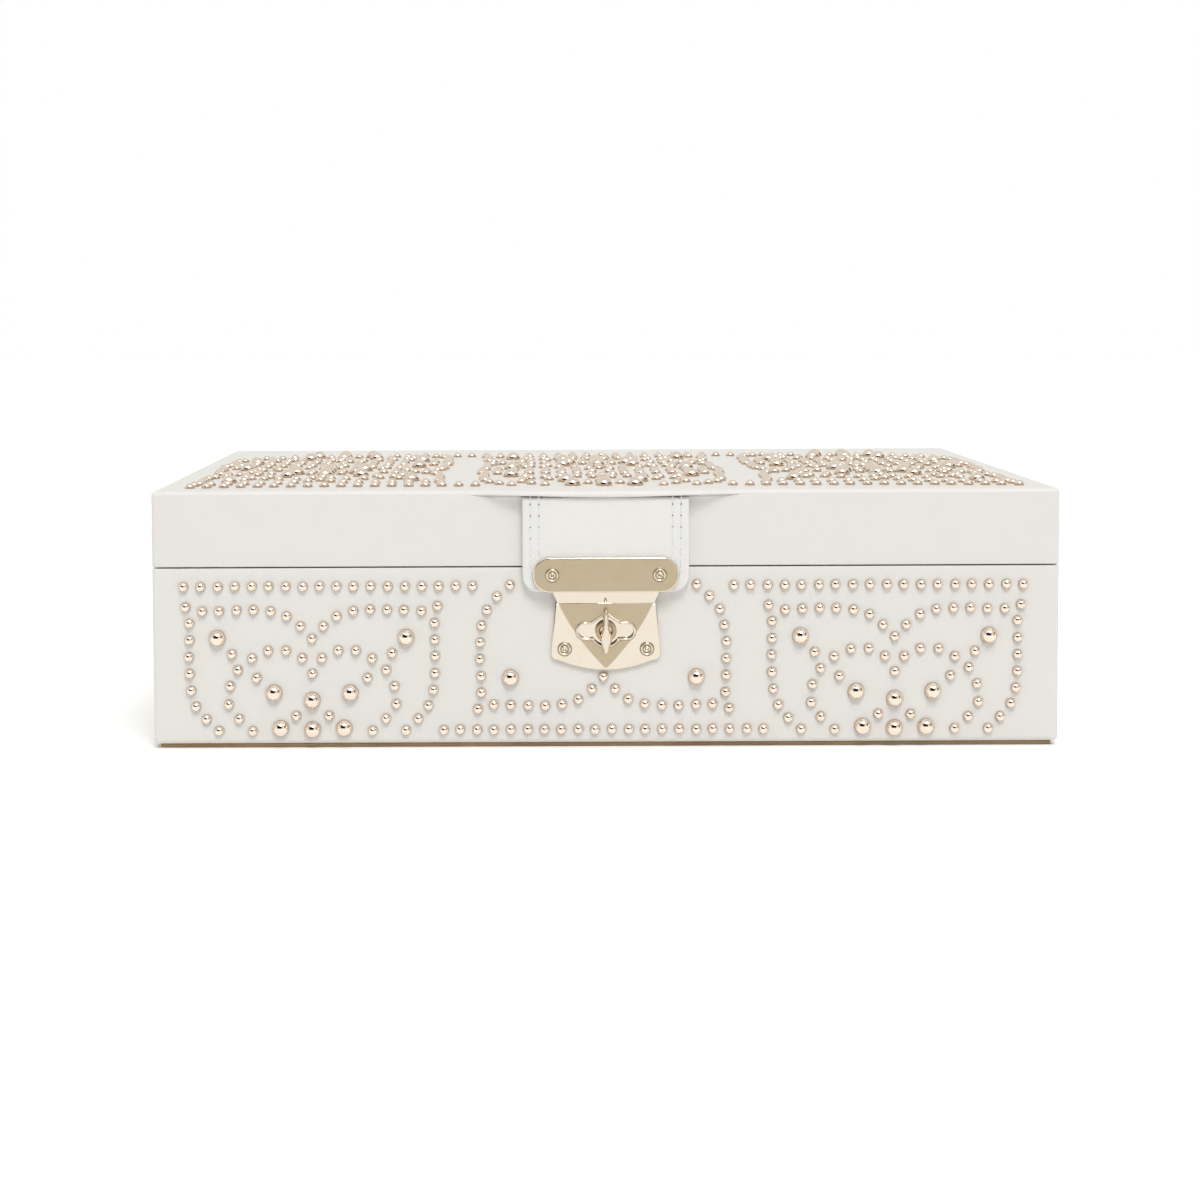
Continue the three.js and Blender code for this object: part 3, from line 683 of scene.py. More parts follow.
def make_case_leather():
    radius = CORNER_RADIUS * MM
    foot = CASE_FOOT_RADIUS * MM
    fold = RIM_RADIUS * MM
    xs, ys = cover_lines(radius)
    bottom = BASE_TOP + 0.05 * MM
    rows = arc_rows(foot, bottom + foot, foot, -90, 0)
    wall = 12
    rows += [(0, bottom + foot + (RIM - fold - bottom - foot) * k / wall) for k in range(1, wall)]
    rows += [(0, RIM - 2.0 * MM)] + arc_rows(fold, RIM - fold, fold, 0, 90, 4)
    rows += [(FLANGE * MM * t, RIM) for t in (0.25, 0.6, 1.0)]

    def bend(x, y, z, outline_x, outline_y):
        if in_rebate(x, y, RIM - z):
            z = min(z, RIM - REBATE * MM)
        push = ripple(x, y, z) if 3 * MM < z < RIM - 3 * MM else 0
        return (*uneven_walls(x, y, outline_x, outline_y, push), z)

    verts, faces = stack_rows(rows, perimeter(xs, ys, HALF_W, HALF_D), HALF_W, HALF_D, radius, bend)
    return finish_cover("case", verts, faces, RIM / 2)


def hood_share(x):
    """How much of the lip shows at x: 1 over the tab, fading to 0 on either side."""
    return 1 - smoothstep(HOOD_FULL * MM, (HOOD_FULL + HOOD_FADE) * MM, abs(x))


def pad_rise(x, y):
    """Height of the padded top over its flat margin."""
    across = min(max(abs(x) / (HALF_W - PAD_MARGIN * MM), 0.0), 1.0)
    along = min(max(abs(y) / (HALF_D - PAD_MARGIN * MM), 0.0), 1.0)
    return PAD_RISE * MM * (1 - across ** 6) * (1 - along ** 4)


def make_lid_leather():
    """The lid's cover, up from the rim. Its lip stands out over the tab and sags a little in the middle."""
    radius = CORNER_RADIUS * MM
    fold = RIM_RADIUS * MM
    xs, ys = cover_lines(radius)
    lip_top = LID_TOP - radius
    lip_end = LID_TOP - HOOD_DROP_ENDS * MM
    under = 0.02 * MM
    rows = [(FLANGE * MM * t, LID_RIM) for t in (1.0, 0.6, 0.25)]
    rows += arc_rows(fold, LID_RIM + fold, fold, -90, 0, 4)
    wall = 8
    rise = lip_end - 6 * MM - LID_RIM - fold
    rows += [(0, LID_RIM + fold + rise * k / wall) for k in range(1, wall + 1)]
    rows += [(0, lip_end - drop) for drop in (3 * MM, 1.2 * MM, 2 * under, under, 0)]
    rows += arc_rows(radius, lip_top, radius, 0, 90, 6)

    def lip_push(x, z):
        """How far the lip stands out, and how far it sags."""
        share = hood_share(x)
        beside_tab = share * smoothstep(HOOD_FULL * MM, (HOOD_FULL + 2.5) * MM, abs(x))
        if z >= lip_end - 1.5 * under:
            arch = math.cos(min(abs(x) / (HOOD_FULL * MM), 1) * math.pi / 2)
            sag = (HOOD_DROP - HOOD_DROP_ENDS) * MM * arch * smoothstep(LID_TOP, lip_end, z)
            rounded = 1.0 if z > lip_end + under else (0.93 if z > lip_end - 0.5 * under else 0.0)
            return share * rounded, sag
        for depth, push in ((2.5 * under, 0.45), (1.5 * MM, 0.25), (3.5 * MM, 0.07)):
            if z > lip_end - depth:
                return push * beside_tab, 0.0
        return 0.0, 0.0

    def bend(x, y, z, outline_x, outline_y):
        if in_rebate(x, y, z - LID_RIM):
            z = max(z, LID_RIM + REBATE * MM)
        near_front = smoothstep(-HALF_D + 26 * MM, -HALF_D + 2 * MM, y)
        push = 0.0
        if y < -HALF_D / 2 and hood_share(x) > 0:
            push, sag = lip_push(x, z)
            z -= sag
            if outline_y <= 1e-6 - HALF_D and z > lip_end - 1.5 * under - HOOD_DROP * MM:
                near_front = 1.0
        y -= push * near_front * (HOOD_REACH - 0.05 * MM)
        uneven = ripple(x, y, z) if LID_RIM + 3 * MM < z < lip_end - 4 * MM else 0
        return (*uneven_walls(x, y, outline_x, outline_y, uneven), z)

    verts, faces = stack_rows(rows, perimeter(xs, ys, HALF_W, HALF_D), HALF_W, HALF_D, radius, bend)
    top_xs = [x for x in xs if abs(x) <= HALF_W - radius + 1e-6]
    top_ys = [y for y in ys if abs(y) <= HALF_D - radius + 1e-6]
    faces += grid_faces(len(verts), len(top_xs), len(top_ys))
    for y in top_ys:
        for x in top_xs:
            px, py, pz = bend(x, y, LID_TOP, x, y)
            verts.append((px, py, pz + pad_rise(x, y)))
    return finish_cover("lid", verts, faces, (LID_RIM + LID_TOP) / 2)


make_case_leather()
make_lid_leather()


# ------------------------------------------------------------------ geometry node trees

def geometry_tree(name, inputs):
    shape = ("Geometry", "Geometry")
    return node_group(name, [(*shape, None)] + inputs, [shape], "GeometryNodeTree")


def run_tree(obj, tree, **values):
    """Puts a tree on an object with its inputs set, and freezes the result."""
    modifier = obj.modifiers.new(tree.name, "NODES")
    modifier.node_group = tree
    sockets = {s.name: s.identifier for s in tree.interface.items_tree if s.in_out == "INPUT"}
    for key, value in values.items():
        modifier[sockets[key.replace("_", " ")]] = value
    return freeze(obj)


def close_tree(tree, end, geometry, material_socket):
    """Ends a tree with Realize Instances, smooth shading and Set Material."""
    real = add_node(tree, "GeometryNodeRealizeInstances", {0: geometry})
    smooth = add_node(tree, "GeometryNodeSetShadeSmooth", {0: real.outputs[0]})
    painted = add_node(tree, "GeometryNodeSetMaterial", {0: smooth.outputs[0], "Material": material_socket})
    tree.links.new(painted.outputs[0], end.inputs[0])


def nailhead_tree():
    """Domes on the input's points, turned along the `facing` attribute, in two sizes."""
    tree, start, end = geometry_tree("nailheads", [
        ("Small Radius", "Float", SMALL_STUD * MM), ("Large Radius", "Float", LARGE_STUD * MM),
        ("Jitter", "Float", STUD_JITTER * MM), ("Seed", "Int", 7),
        ("Small Segments", "Int", 12), ("Large Segments", "Int", 20),
        ("Material", "Material", None)])
    named = "GeometryNodeInputNamedAttribute"
    facing = add_node(tree, named, {"Name": "facing"}, data_type="FLOAT_VECTOR").outputs["Attribute"]
    large = add_node(tree, named, {"Name": "large"}, data_type="BOOLEAN").outputs["Attribute"]
    small = add_node(tree, "FunctionNodeBooleanMath", {0: large}, operation="NOT").outputs[0]

    def xyz(values):
        return add_node(tree, "ShaderNodeCombineXYZ", dict(enumerate(values))).outputs[0]

    jitter = start.outputs["Jitter"]
    limits = {0: xyz([times(tree, jitter, -1.0)] * 3), 1: xyz([jitter] * 3), "Seed": start.outputs["Seed"]}
    wander = add_node(tree, "FunctionNodeRandomValue", limits, data_type="FLOAT_VECTOR").outputs[0]
    along = add_node(tree, "ShaderNodeVectorMath", {0: wander, 1: facing}, operation="DOT_PRODUCT")
    lift = add_node(tree, "ShaderNodeVectorMath", {0: facing, "Scale": along.outputs["Value"]},
                    operation="SCALE")
    flat = add_node(tree, "ShaderNodeVectorMath", {0: wander, 1: lift.outputs[0]}, operation="SUBTRACT")
    moved = add_node(tree, "GeometryNodeSetPosition",
                     {0: start.outputs["Geometry"], "Offset": flat.outputs[0]})
    turn = add_node(tree, "FunctionNodeAlignRotationToVector", {"Vector": facing}, axis="Z")
    join = add_node(tree, "GeometryNodeJoinGeometry")
    for size, chosen, rings in (("Small", small, 6), ("Large", large, 10)):
        radius = start.outputs[size + " Radius"]
        ball = add_node(tree, "GeometryNodeMeshUVSphere", {"Segments": start.outputs[size + " Segments"],
                        "Rings": rings, "Radius": radius})
        place = add_node(tree, "GeometryNodeInputPosition")
        x, y, z = add_node(tree, "ShaderNodeSeparateXYZ", {0: place.outputs[0]}).outputs
        floor = add_node(tree, "ShaderNodeMath", {0: z, 1: -0.02 * MM}, operation="MAXIMUM").outputs[0]
        dome = add_node(tree, "GeometryNodeSetPosition", {0: ball.outputs[0], "Position": xyz([x, y, floor])})
        # 1 at the dome's foot, 0 at its top; the nailhead material paints shade by it
        foot = add_node(tree, "ShaderNodeMapRange", {"Value": z, "From Min": 0.0, "From Max": radius,
                        "To Min": 1.0, "To Max": 0.0})
        dome = add_node(tree, "GeometryNodeStoreNamedAttribute", {0: dome.outputs[0], "Name": "foot",
                        "Value": foot.outputs[0]}, data_type="FLOAT", domain="POINT")
        copies = add_node(tree, "GeometryNodeInstanceOnPoints", {"Points": moved.outputs[0],
                          "Selection": chosen, "Instance": dome.outputs[0], "Rotation": turn.outputs[0]})
        tree.links.new(copies.outputs[0], join.inputs[0])
    close_tree(tree, end, join.outputs[0], start.outputs["Material"])
    return tree


def stitch_tree():
    """Long rounded beads, one for each even step along the input's edges."""
    tree, start, end = geometry_tree("stitches", [
        ("Pitch", "Float", STITCH_PITCH * MM), ("Length", "Float", STITCH_LENGTH * MM),
        ("Width", "Float", STITCH_WIDTH * MM), ("Height", "Float", STITCH_WIDTH * MM),
        ("Slant", "Float", 0.0), ("Material", "Material", None)])
    curve = add_node(tree, "GeometryNodeMeshToCurve", {0: start.outputs["Geometry"]})
    points = add_node(tree, "GeometryNodeCurveToPoints", {0: curve.outputs[0],
                      "Length": start.outputs["Pitch"]}, mode="LENGTH")
    align = add_node(tree, "FunctionNodeAlignRotationToVector", {"Vector": points.outputs["Tangent"]},
                     axis="X")
    upright = add_node(tree, "FunctionNodeAlignRotationToVector",
                       {"Rotation": align.outputs[0], "Vector": (0.0, -1.0, 0.0)}, axis="Z", pivot_axis="X")
    tilt = add_node(tree, "FunctionNodeAxisAngleToRotation",
                    {"Axis": (0.0, 0.0, 1.0), "Angle": start.outputs["Slant"]})
    turned = add_node(tree, "FunctionNodeRotateRotation", {"Rotation": upright.outputs[0],
                      "Rotate By": tilt.outputs[0]}, rotation_space="LOCAL")
    bead = add_node(tree, "GeometryNodeMeshUVSphere", {"Segments": 8, "Rings": 6, "Radius": 0.5})
    size = add_node(tree, "ShaderNodeCombineXYZ", {0: start.outputs["Length"], 1: start.outputs["Width"],
                    2: start.outputs["Height"]})
    copies = add_node(tree, "GeometryNodeInstanceOnPoints", {"Points": points.outputs[0],
                      "Instance": bead.outputs[0], "Rotation": turned.outputs[0], "Scale": size.outputs[0]})
    close_tree(tree, end, copies.outputs[0], start.outputs["Material"])
    return tree


NAILHEADS = nailhead_tree()
STITCHES = stitch_tree()


# ------------------------------------------------------------------ the pattern of nailheads

BRACKET = [(0, 31.5), (8.8, 39.5), (20.6, 41.5), (38.0, 41.1), (43.2, 42.6)]  # centre point to the ear
FLANK = [(43.2, 42.6), (42.0, 36.5), (42.2, 19.8), (39.9, 8.1), (32.1, -0.2)]
LOTUS = [(0, 19.5), (3.6, 25.0), (9.2, 27.5), (15.5, 27.3), (25.7, 20.5), (28.7, 8.8), (20.6, -0.3)]
DIAGONAL = [((32.4, 31.8), True), ((27.5, 26.4), False), ((19.1, 18.0), False),
            ((13.1, 12.8), True), ((5.6, 4.8), False)]
MIDDLE = [((0, 0), True), ((0, 10.2), True), ((10.9, 0.5), True)]


def frame_studs():
    """The frame of half a panel, right side: a bracket along the top and a flank down to the axis."""
    bracket = evenly(spline(BRACKET), 9)
    flank = evenly(spline(FLANK), 9)[1:]
    return [(p, False) for p in bracket + flank]


def lotus_studs():
    flower = [(p, False) for p in evenly(spline(LOTUS), 10)]
    return flower + [(Vector(p), big) for p, big in DIAGONAL + MIDDLE]


class StudField:
    """Nailheads on one surface; a place that is already taken is left alone."""

    def __init__(self):
        self.studs = []

    def add(self, x, v, big):
        if all((x - a) ** 2 + (v - b) ** 2 > STUD_CLEAR ** 2 for a, b, _ in self.studs):
            self.studs.append((x, v, big))

    def half_panel(self, centre_x, centre_v, side, studs, stretch=1.0):
        for point, big in studs:
            for mirror in (-1, 1):
                self.add(centre_x + mirror * point[0], centre_v + side * point[1] * stretch, big)

    def row(self, from_x, to_x, v, count):
        for k in range(count):
            self.add(from_x + (to_x - from_x) * k / (count - 1), v, False)


def stud_piece(name, field, place, body):
    """Nailheads at the field's places; `place` turns (x, v) into a point and a direction."""
    mesh = bpy.data.meshes.new(name)
    spots = [place(x, v) for x, v, _ in field.studs]
    mesh.from_pydata([tuple(p) for p, _ in spots], [], [])
    facing = mesh.attributes.new("facing", "FLOAT_VECTOR", "POINT")
    facing.data.foreach_set("vector", [c for _, direction in spots for c in direction])
    large = mesh.attributes.new("large", "BOOLEAN", "POINT")
    large.data.foreach_set("value", [big for _, _, big in field.studs])
    piece = run_tree(new_object(name, mesh), NAILHEADS, Material=STUD_GOLD)
    return settle(piece, body, "gold")


def make_front_studs():
    row_v = FRONT_AXIS + PANEL_HALF
    field = StudField()
    for centre in (-PANEL_PITCH, PANEL_PITCH):
        row_middle = math.copysign(ROW_MIDDLE, centre)
        field.row(row_middle - PANEL_HALF, row_middle + PANEL_HALF, row_v, LONG_ROW)
        field.half_panel(centre, FRONT_AXIS, 1, frame_studs())
        field.half_panel(centre, FRONT_AXIS, 1, lotus_studs())
    field.half_panel(0, row_v, -1, frame_studs())
    for mirror in (-1, 1):
        field.add(mirror * LOCK_STUD[0], row_v - LOCK_STUD[1], True)
    field.row(-MIDDLE_ROW_HALF, MIDDLE_ROW_HALF, FRONT_AXIS - 0.1, MIDDLE_ROW)

    def place(x, v):
        return Vector(((x + FRONT_SHIFT) * MM, FRONT, v * MM)), (0, -1, 0)

    return stud_piece("front_nailheads", field, place, "case")


def make_lid_studs():
    """Whole panels, three across, laid like bricks: the ends' axes are level with the middle one's rows."""
    field = StudField()
    whole = frame_studs() + lotus_studs()
    for step in range(TOP_ROWS):
        v = step * TOP_HALF
        for centre in (-PANEL_PITCH, 0, PANEL_PITCH):
            if (step % 2 == 0) == (centre == 0):
                for side in (-1, 1):
                    if 0 <= step + side < TOP_ROWS:
                        field.half_panel(centre, v, side, whole, TOP_HALF / PANEL_HALF)
            elif centre:
                outer, inner, count = ROW_MIDDLE + PANEL_HALF, ROW_MIDDLE - PANEL_HALF, LONG_ROW
                if step:
                    inner, count = SHORT_ROW_END, SHORT_ROW
                field.row(math.copysign(outer, centre), math.copysign(inner, centre), v, count)
            elif step == TOP_ROWS - 1:
                field.row(-MIDDLE_ROW_HALF, MIDDLE_ROW_HALF, v, MIDDLE_ROW)
            else:
                field.row(-SHORT_ROW_HALF, SHORT_ROW_HALF, v, SHORT_ROW)

    def place(x, v):
        px, py = x * MM, FRONT + (TOP_FIRST_ROW + v) * MM
        step = 1 * MM
        height = LID_TOP + pad_rise(px, py)
        slope_x = (pad_rise(px + step, py) - pad_rise(px - step, py)) / (2 * step)
        slope_y = (pad_rise(px, py + step) - pad_rise(px, py - step)) / (2 * step)
        return Vector((px, py, height)), tuple(Vector((-slope_x, -slope_y, 1)).normalized())

    return stud_piece("lid_nailheads", field, place, "lid")


make_front_studs()
make_lid_studs()


# ------------------------------------------------------------------ plates cut from sheet

def plate(name, outlines, back_y, front_y, bevel, front_material, edge_material, resolution=3):
    """A plate that faces the front, from closed outlines in X and Z: its edge, and then any holes."""
    curve = bpy.data.curves.new(name, "CURVE")
    curve.dimensions = "2D"
    curve.fill_mode = "BOTH"
    curve.extrude = max((back_y - front_y) / 2 - bevel, 0.0)
    curve.bevel_depth = bevel
    curve.bevel_resolution = resolution
    curve.offset = -bevel
    for outline in outlines:
        path = curve.splines.new("POLY")
        path.points.add(len(outline) - 1)
        for point, (x, z) in zip(path.points, outline):
            point.co = (x, z, 0, 1)
        path.use_cyclic_u = True
    obj = freeze(new_object(name + "_outline", curve))
    mesh = obj.data
    turn = Matrix.Rotation(math.radians(90), 4, "X")
    mesh.transform(Matrix.Translation((0, (back_y + front_y) / 2, 0)) @ turn)
    with editing(mesh) as bm:
        bmesh.ops.remove_doubles(bm, verts=bm.verts, dist=1e-7)
        bmesh.ops.recalc_face_normals(bm, faces=bm.faces)
    mesh.materials.clear()
    mesh.materials.append(front_material)
    mesh.materials.append(edge_material)
    for polygon in mesh.polygons:
        polygon.use_smooth = abs(polygon.normal.y) < 0.999
        polygon.material_index = 0 if polygon.normal.y < -0.999 else 1
    obj.name = name
    mesh.name = name
    return obj


def curved(a, control, b, steps=8):
    """A single smooth bend between two points, without its first point."""
    out = []
    for k in range(1, steps + 1):
        t = k / steps
        out.append(tuple((1 - t) ** 2 * a[i] + 2 * t * (1 - t) * control[i] + t * t * b[i] for i in range(2)))
    return out

# ------------------------------------------------------------------ the leather tab

TAB_CORNER = 5.3 * MM


def bend_with_tab(piece, slot, *replaced):
    """Bakes the piece's placing into its mesh, and hides the CAD nodes that it replaces; `slot` is not used.
    """
    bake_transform(piece)
    if replaced:
        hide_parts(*replaced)


def cut_across(obj, heights):
    """Adds level edge loops across the piece."""
    with editing(obj.data) as bm:
        for z in heights:
            everything = bm.verts[:] + bm.edges[:] + bm.faces[:]
            bmesh.ops.bisect_plane(bm, geom=everything, plane_co=(0, 0, z), plane_no=(0, 0, 1), dist=1e-7)


def make_tab():
    half = tab_high.x
    low = tab_low.z
    outline = [(half, tab_high.z), (-half, tab_high.z)]
    outline += arc(-half + TAB_CORNER, low + TAB_CORNER, TAB_CORNER, 180, 270, 10)
    outline += arc(half - TAB_CORNER, low + TAB_CORNER, TAB_CORNER, 270, 360, 10)
    tab = plate("tab_leather", [outline], tab_high.y, tab_low.y, 0.9 * MM, TAB_LEATHER, TAB_LEATHER, 4)
    cut_across(tab, [tab_high.z - k * 1.0 * MM for k in range(1, 12)])
    bend_with_tab(tab, "leather", "clasp_tab")


def stitch_line(inset, side):
    """A row of stitches down one side of the tab; the outer row curves in under the hasp."""
    x = side * (tab_high.x - inset * MM)
    y = tab_low.y - 0.05 * MM
    top = Vector((x, y, tab_high.z - 0.6 * MM))
    if inset == max(STITCH_ROWS):
        return [top, Vector((x, y, tab_low.z + 10.5 * MM))]
    turn = 5.0 * MM
    foot = tab_low.z + inset * MM + turn
    path = [top, Vector((x, y, foot))]
    for k in range(1, 7):
        angle = math.radians(10 * k)
        path.append(Vector((x - side * turn * (1 - math.cos(angle)), y, foot - turn * math.sin(angle))))
    return path


def without_start(path, skip):
    """The path without its first `skip` metres."""
    if skip <= 0:
        return path
    first = (path[1] - path[0]).length
    if skip < first:
        return [path[0].lerp(path[1], skip / first)] + path[1:]
    return without_start(path[1:], skip - first)


def make_stitches():
    for label, length, width, height, material, shift in (
        ("tab_stitches", STITCH_LENGTH, STITCH_WIDTH, 0.42, THREAD, 0.0),
        # dark low beads between the stitches: painted shade of the needle holes
        ("tab_needle_holes", 0.75, 0.6, 0.2, NEEDLE_HOLE_SHADE, 0.5),
    ):
        verts, edges = [], []
        for inset in STITCH_ROWS:
            for side in (-1, 1):
                path = without_start(stitch_line(inset, side), shift * STITCH_PITCH * MM)
                first = len(verts)
                verts += path
                edges += [(first + k, first + k + 1) for k in range(len(path) - 1)]
        mesh = bpy.data.meshes.new(label)
        mesh.from_pydata([tuple(v) for v in verts], edges, [])
        rows = run_tree(new_object(label, mesh), STITCHES, Length=length * MM, Width=width * MM,
                        Height=height * MM, Material=material)
        bend_with_tab(rows, "leather")


make_tab()
make_stitches()

# ------------------------------------------------------------------ the clasp

rivet_low, rivet_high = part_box("hasp_rivet_left")
HASP_MIDDLE = (rivet_low.z + rivet_high.z) / 2
BAR_RADIUS = hasp_high.z - HASP_MIDDLE
BAR_BOTTOM = HASP_MIDDLE - BAR_RADIUS
BAR_BACK = tab_low.y - 0.25 * MM
BAR_FRONT = hasp_low.y
TONGUE_TOP = BAR_BOTTOM - 3.8 * MM
TONGUE_HALF = 16.3 * MM
TONGUE_TIP = hasp_low.z
TONGUE_BACK = hasp_high.y
TONGUE_FRONT = TONGUE_BACK - 1.0 * MM
NECK_HALF = 17.6 * MM
KNOB_Z = (knob_low.z + knob_high.z) / 2
SLOT_HALF = 9.65 * MM
SLOT_ARM = 2.55 * MM
SLOT_EYE = 5.0 * MM
TONGUE_BOW = 0.7


def bar_outline():
    straight = hasp_high.x - BAR_RADIUS
    left = arc(-straight, HASP_MIDDLE, BAR_RADIUS, 90, 270, 24)
    return left + arc(straight, HASP_MIDDLE, BAR_RADIUS, -90, 90, 24)


def tongue_outline():
    middle = (TONGUE_TOP + TONGUE_TIP) / 2
    left, right = (-TONGUE_HALF, TONGUE_TOP), (TONGUE_HALF, TONGUE_TOP)
    tip = [(-0.5 * MM, TONGUE_TIP), (0.5 * MM, TONGUE_TIP)]
    down = curved(left, (-TONGUE_HALF * TONGUE_BOW, middle), tip[0], 10)
    up = curved(tip[1], (TONGUE_HALF * TONGUE_BOW, middle), right, 10)
    return [left] + down + [tip[1]] + up


def slot_outline(grow=0.0):
    """The tongue's slot: two straight arms and a round eye, anticlockwise from the right."""
    arm, eye, half = SLOT_ARM + grow, SLOT_EYE + grow, SLOT_HALF + grow
    reach = math.degrees(math.asin(arm / eye))
    straight = half - arm
    right = arc(straight, KNOB_Z, arm, -90, 90, 10)
    gable = [(4.7 * MM + grow, KNOB_Z + arm), (0.8 * MM, KNOB_Z + 5.3 * MM + grow)]
    over = gable + [(-x, z) for x, z in reversed(gable)]
    left = arc(-straight, KNOB_Z, arm, 90, 270, 10)
    below = arc(0, KNOB_Z, eye, 180 + reach, 360 - reach, 14)
    return right + over + left + below


def slot_bead(name, grow, radius, material):
    """A closed bead on the tongue's face, round its slot: a polished wire rim, or a dark line of painted
    shadow beside it.
    """
    sides = 8
    path = slot_outline(grow)
    count = len(path)
    verts = []
    for k in range(count):
        before, here, after = (Vector(path[(k + s) % count]) for s in (-1, 0, 1))
        along = (after - before).normalized()
        out = Vector((along.y, -along.x))
        for j in range(sides):
            angle = 2 * math.pi * j / sides
            point = here + out * radius * math.cos(angle)
            verts.append((point.x, TONGUE_FRONT - radius * math.sin(angle), point.y))
    bead = mesh_piece(name, verts, ring_faces(count, sides, closed=True), material)
    settle(bead, "hasp", "gold")


def make_hasp():
    # front faces take the darker gold, a painted reflection; the edges take the polished gold
    bar = plate("hasp_bar", [bar_outline()], BAR_BACK, BAR_FRONT, 0.45 * MM, BRUSHED_SHADED_GOLD, POLISHED_GOLD)
    settle(bar, "hasp", "gold", "hasp_plate")
    tongue = plate("hasp_tongue", [tongue_outline(), slot_outline()], TONGUE_BACK, TONGUE_FRONT,
                   0.2 * MM, BRUSHED_SHADED_GOLD, POLISHED_GOLD, 2)
    settle(tongue, "hasp", "gold")
    slot_bead("slot_rim", 0.25 * MM, 0.42 * MM, POLISHED_GOLD)
    # a dark bead just outside the rim: a painted shadow line
    slot_bead("slot_shadow_line", 0.72 * MM, 0.17 * MM, SHADE_GOLD)
    make_neck()


def make_neck():
    """The bent strip between the bar and the tongue: a soft S that narrows downwards."""
    thick = 0.9 * MM
    path = spline([(BAR_FRONT + 0.35 * MM, BAR_BOTTOM + 1.0 * MM),
                   (BAR_FRONT + 0.2 * MM, BAR_BOTTOM + 0.1 * MM),
                   (TONGUE_FRONT + 0.15 * MM, TONGUE_TOP + 0.2 * MM),
                   (TONGUE_FRONT + 0.2 * MM, TONGUE_TOP - 0.5 * MM)], 6)
    columns = 12
    shares = [2 * k / columns - 1 for k in range(columns + 1)]
    verts = []
    for y, z in path:
        half = TONGUE_HALF + 0.35 * MM + (NECK_HALF - TONGUE_HALF) * smoothstep(TONGUE_TOP, BAR_BOTTOM, z)
        verts += [(half * s, y, z) for s in shares] + [(half * s, y + thick, z) for s in reversed(shares)]
    neck = mesh_piece("hasp_neck", verts, ring_faces(len(path), 2 * len(shares), capped=True), POLISHED_GOLD)
    sharpen(neck, 50)
    settle(neck, "hasp", "gold")


def lathe(name, profile, centre, material, axis="Y", sides=32, **ends):
    """A turned piece, from a profile of (radius, place along the axis) and the axis's two other places."""
    verts = []
    for radius, along in profile:
        for k in range(sides):
            angle = 2 * math.pi * k / sides
            point = [centre[0] + radius * math.cos(angle), centre[1] + radius * math.sin(angle)]
            point.insert("XYZ".index(axis), along)
            verts.append(point)
    return mesh_piece(name, verts, ring_faces(len(profile), sides, **ends), material)


def rivet_profile(radius, face_y, end_y):
    """A tubular rivet's head: a dimple, an inner ring, a groove and an outer ring."""
    front = face_y - 0.75 * MM
    shape = [(0.0, 0.9), (0.14, 0.8), (0.2, 0.35), (0.27, 0.1), (0.36, 0.0), (0.45, 0.12), (0.5, 0.4),
             (0.55, 0.62), (0.62, 0.62), (0.68, 0.4), (0.76, 0.22), (0.86, 0.18), (0.94, 0.32), (1.0, 0.75)]
    profile = [(radius * r, front + depth * MM) for r, depth in shape]
    return [(1e-9, profile[0][1])] + profile[1:] + [(1.2 * MM, face_y), (1.2 * MM, end_y), (1e-9, end_y)]


def make_rivets():
    for side in ("left", "right"):
        for kind, face, body in (("hasp_rivet", BAR_FRONT, "hasp"), ("lock_rivet", lock_low.y, "case")):
            low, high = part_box(f"{kind}_{side}")
            centre = ((low.x + high.x) / 2, (low.z + high.z) / 2)
            radius = (high.x - low.x) / 2
            rivet = lathe(f"{kind}_{side}_head", rivet_profile(radius, face, high.y), centre, POLISHED_GOLD)
            settle(rivet, body, "gold", f"{kind}_{side}")
            # thin dark rings of painted shade: one in the head's groove, one round its foot
            for kind_of_ring, share, depth in (("groove", 0.585, 0.2), ("foot", 1.06, -0.02)):
                y = face - depth * MM
                ring = [(radius * share + a * MM, y - b * MM) for a, b in
                        ((-0.19, 0.0), (-0.1, 0.12), (0.1, 0.12), (0.19, 0.0), (0.19, -0.06), (-0.19, -0.06))]
                line = lathe(f"{kind}_{side}_{kind_of_ring}", ring + ring[:1], centre, SHADE_GOLD)
                settle(line, body, "gold")


def make_lock_plate():
    top, bottom = lock_high.z, lock_low.z
    half = lock_high.x
    low = top - 17.5 * MM
    corner = 2.6 * MM
    bow = 2 * (low - corner - bottom)
    start = (-half, low)
    knee = (-half + corner, low - corner)
    outline = [(17.3 * MM, top), (-17.3 * MM, top), start]
    outline += curved(start, (-half, low - corner), knee, 6)
    outline += curved(knee, (0, low - corner - bow), (half - corner, low - corner), 20)
    outline += curved((half - corner, low - corner), (half, low - corner), (half, low), 6)
    piece = plate("lock_base", [outline], lock_high.y, lock_low.y, 0.45 * MM, POLISHED_GOLD, POLISHED_GOLD)
    settle(piece, "case", "gold", "lock_plate")


def make_collar():
    radius = (collar_high.x - collar_low.x) / 2
    front, back = collar_low.y, collar_high.y
    bore = 2.0 * MM
    soft = 0.4 * MM
    profile = [(bore, back), (bore, front + soft), (bore + soft, front), (radius - soft, front)]
    profile += [(radius - 0.1 * MM, front + 0.12 * MM), (radius, front + soft), (radius, back), (bore, back)]
    # the collar's darker gold is painted shade of its recess in the slot's eye
    collar = lathe("knob_collar", profile, (0, KNOB_Z), SHADE_GOLD)
    sharpen(collar, 40)
    settle(collar, "case", "gold", "lock_collar")


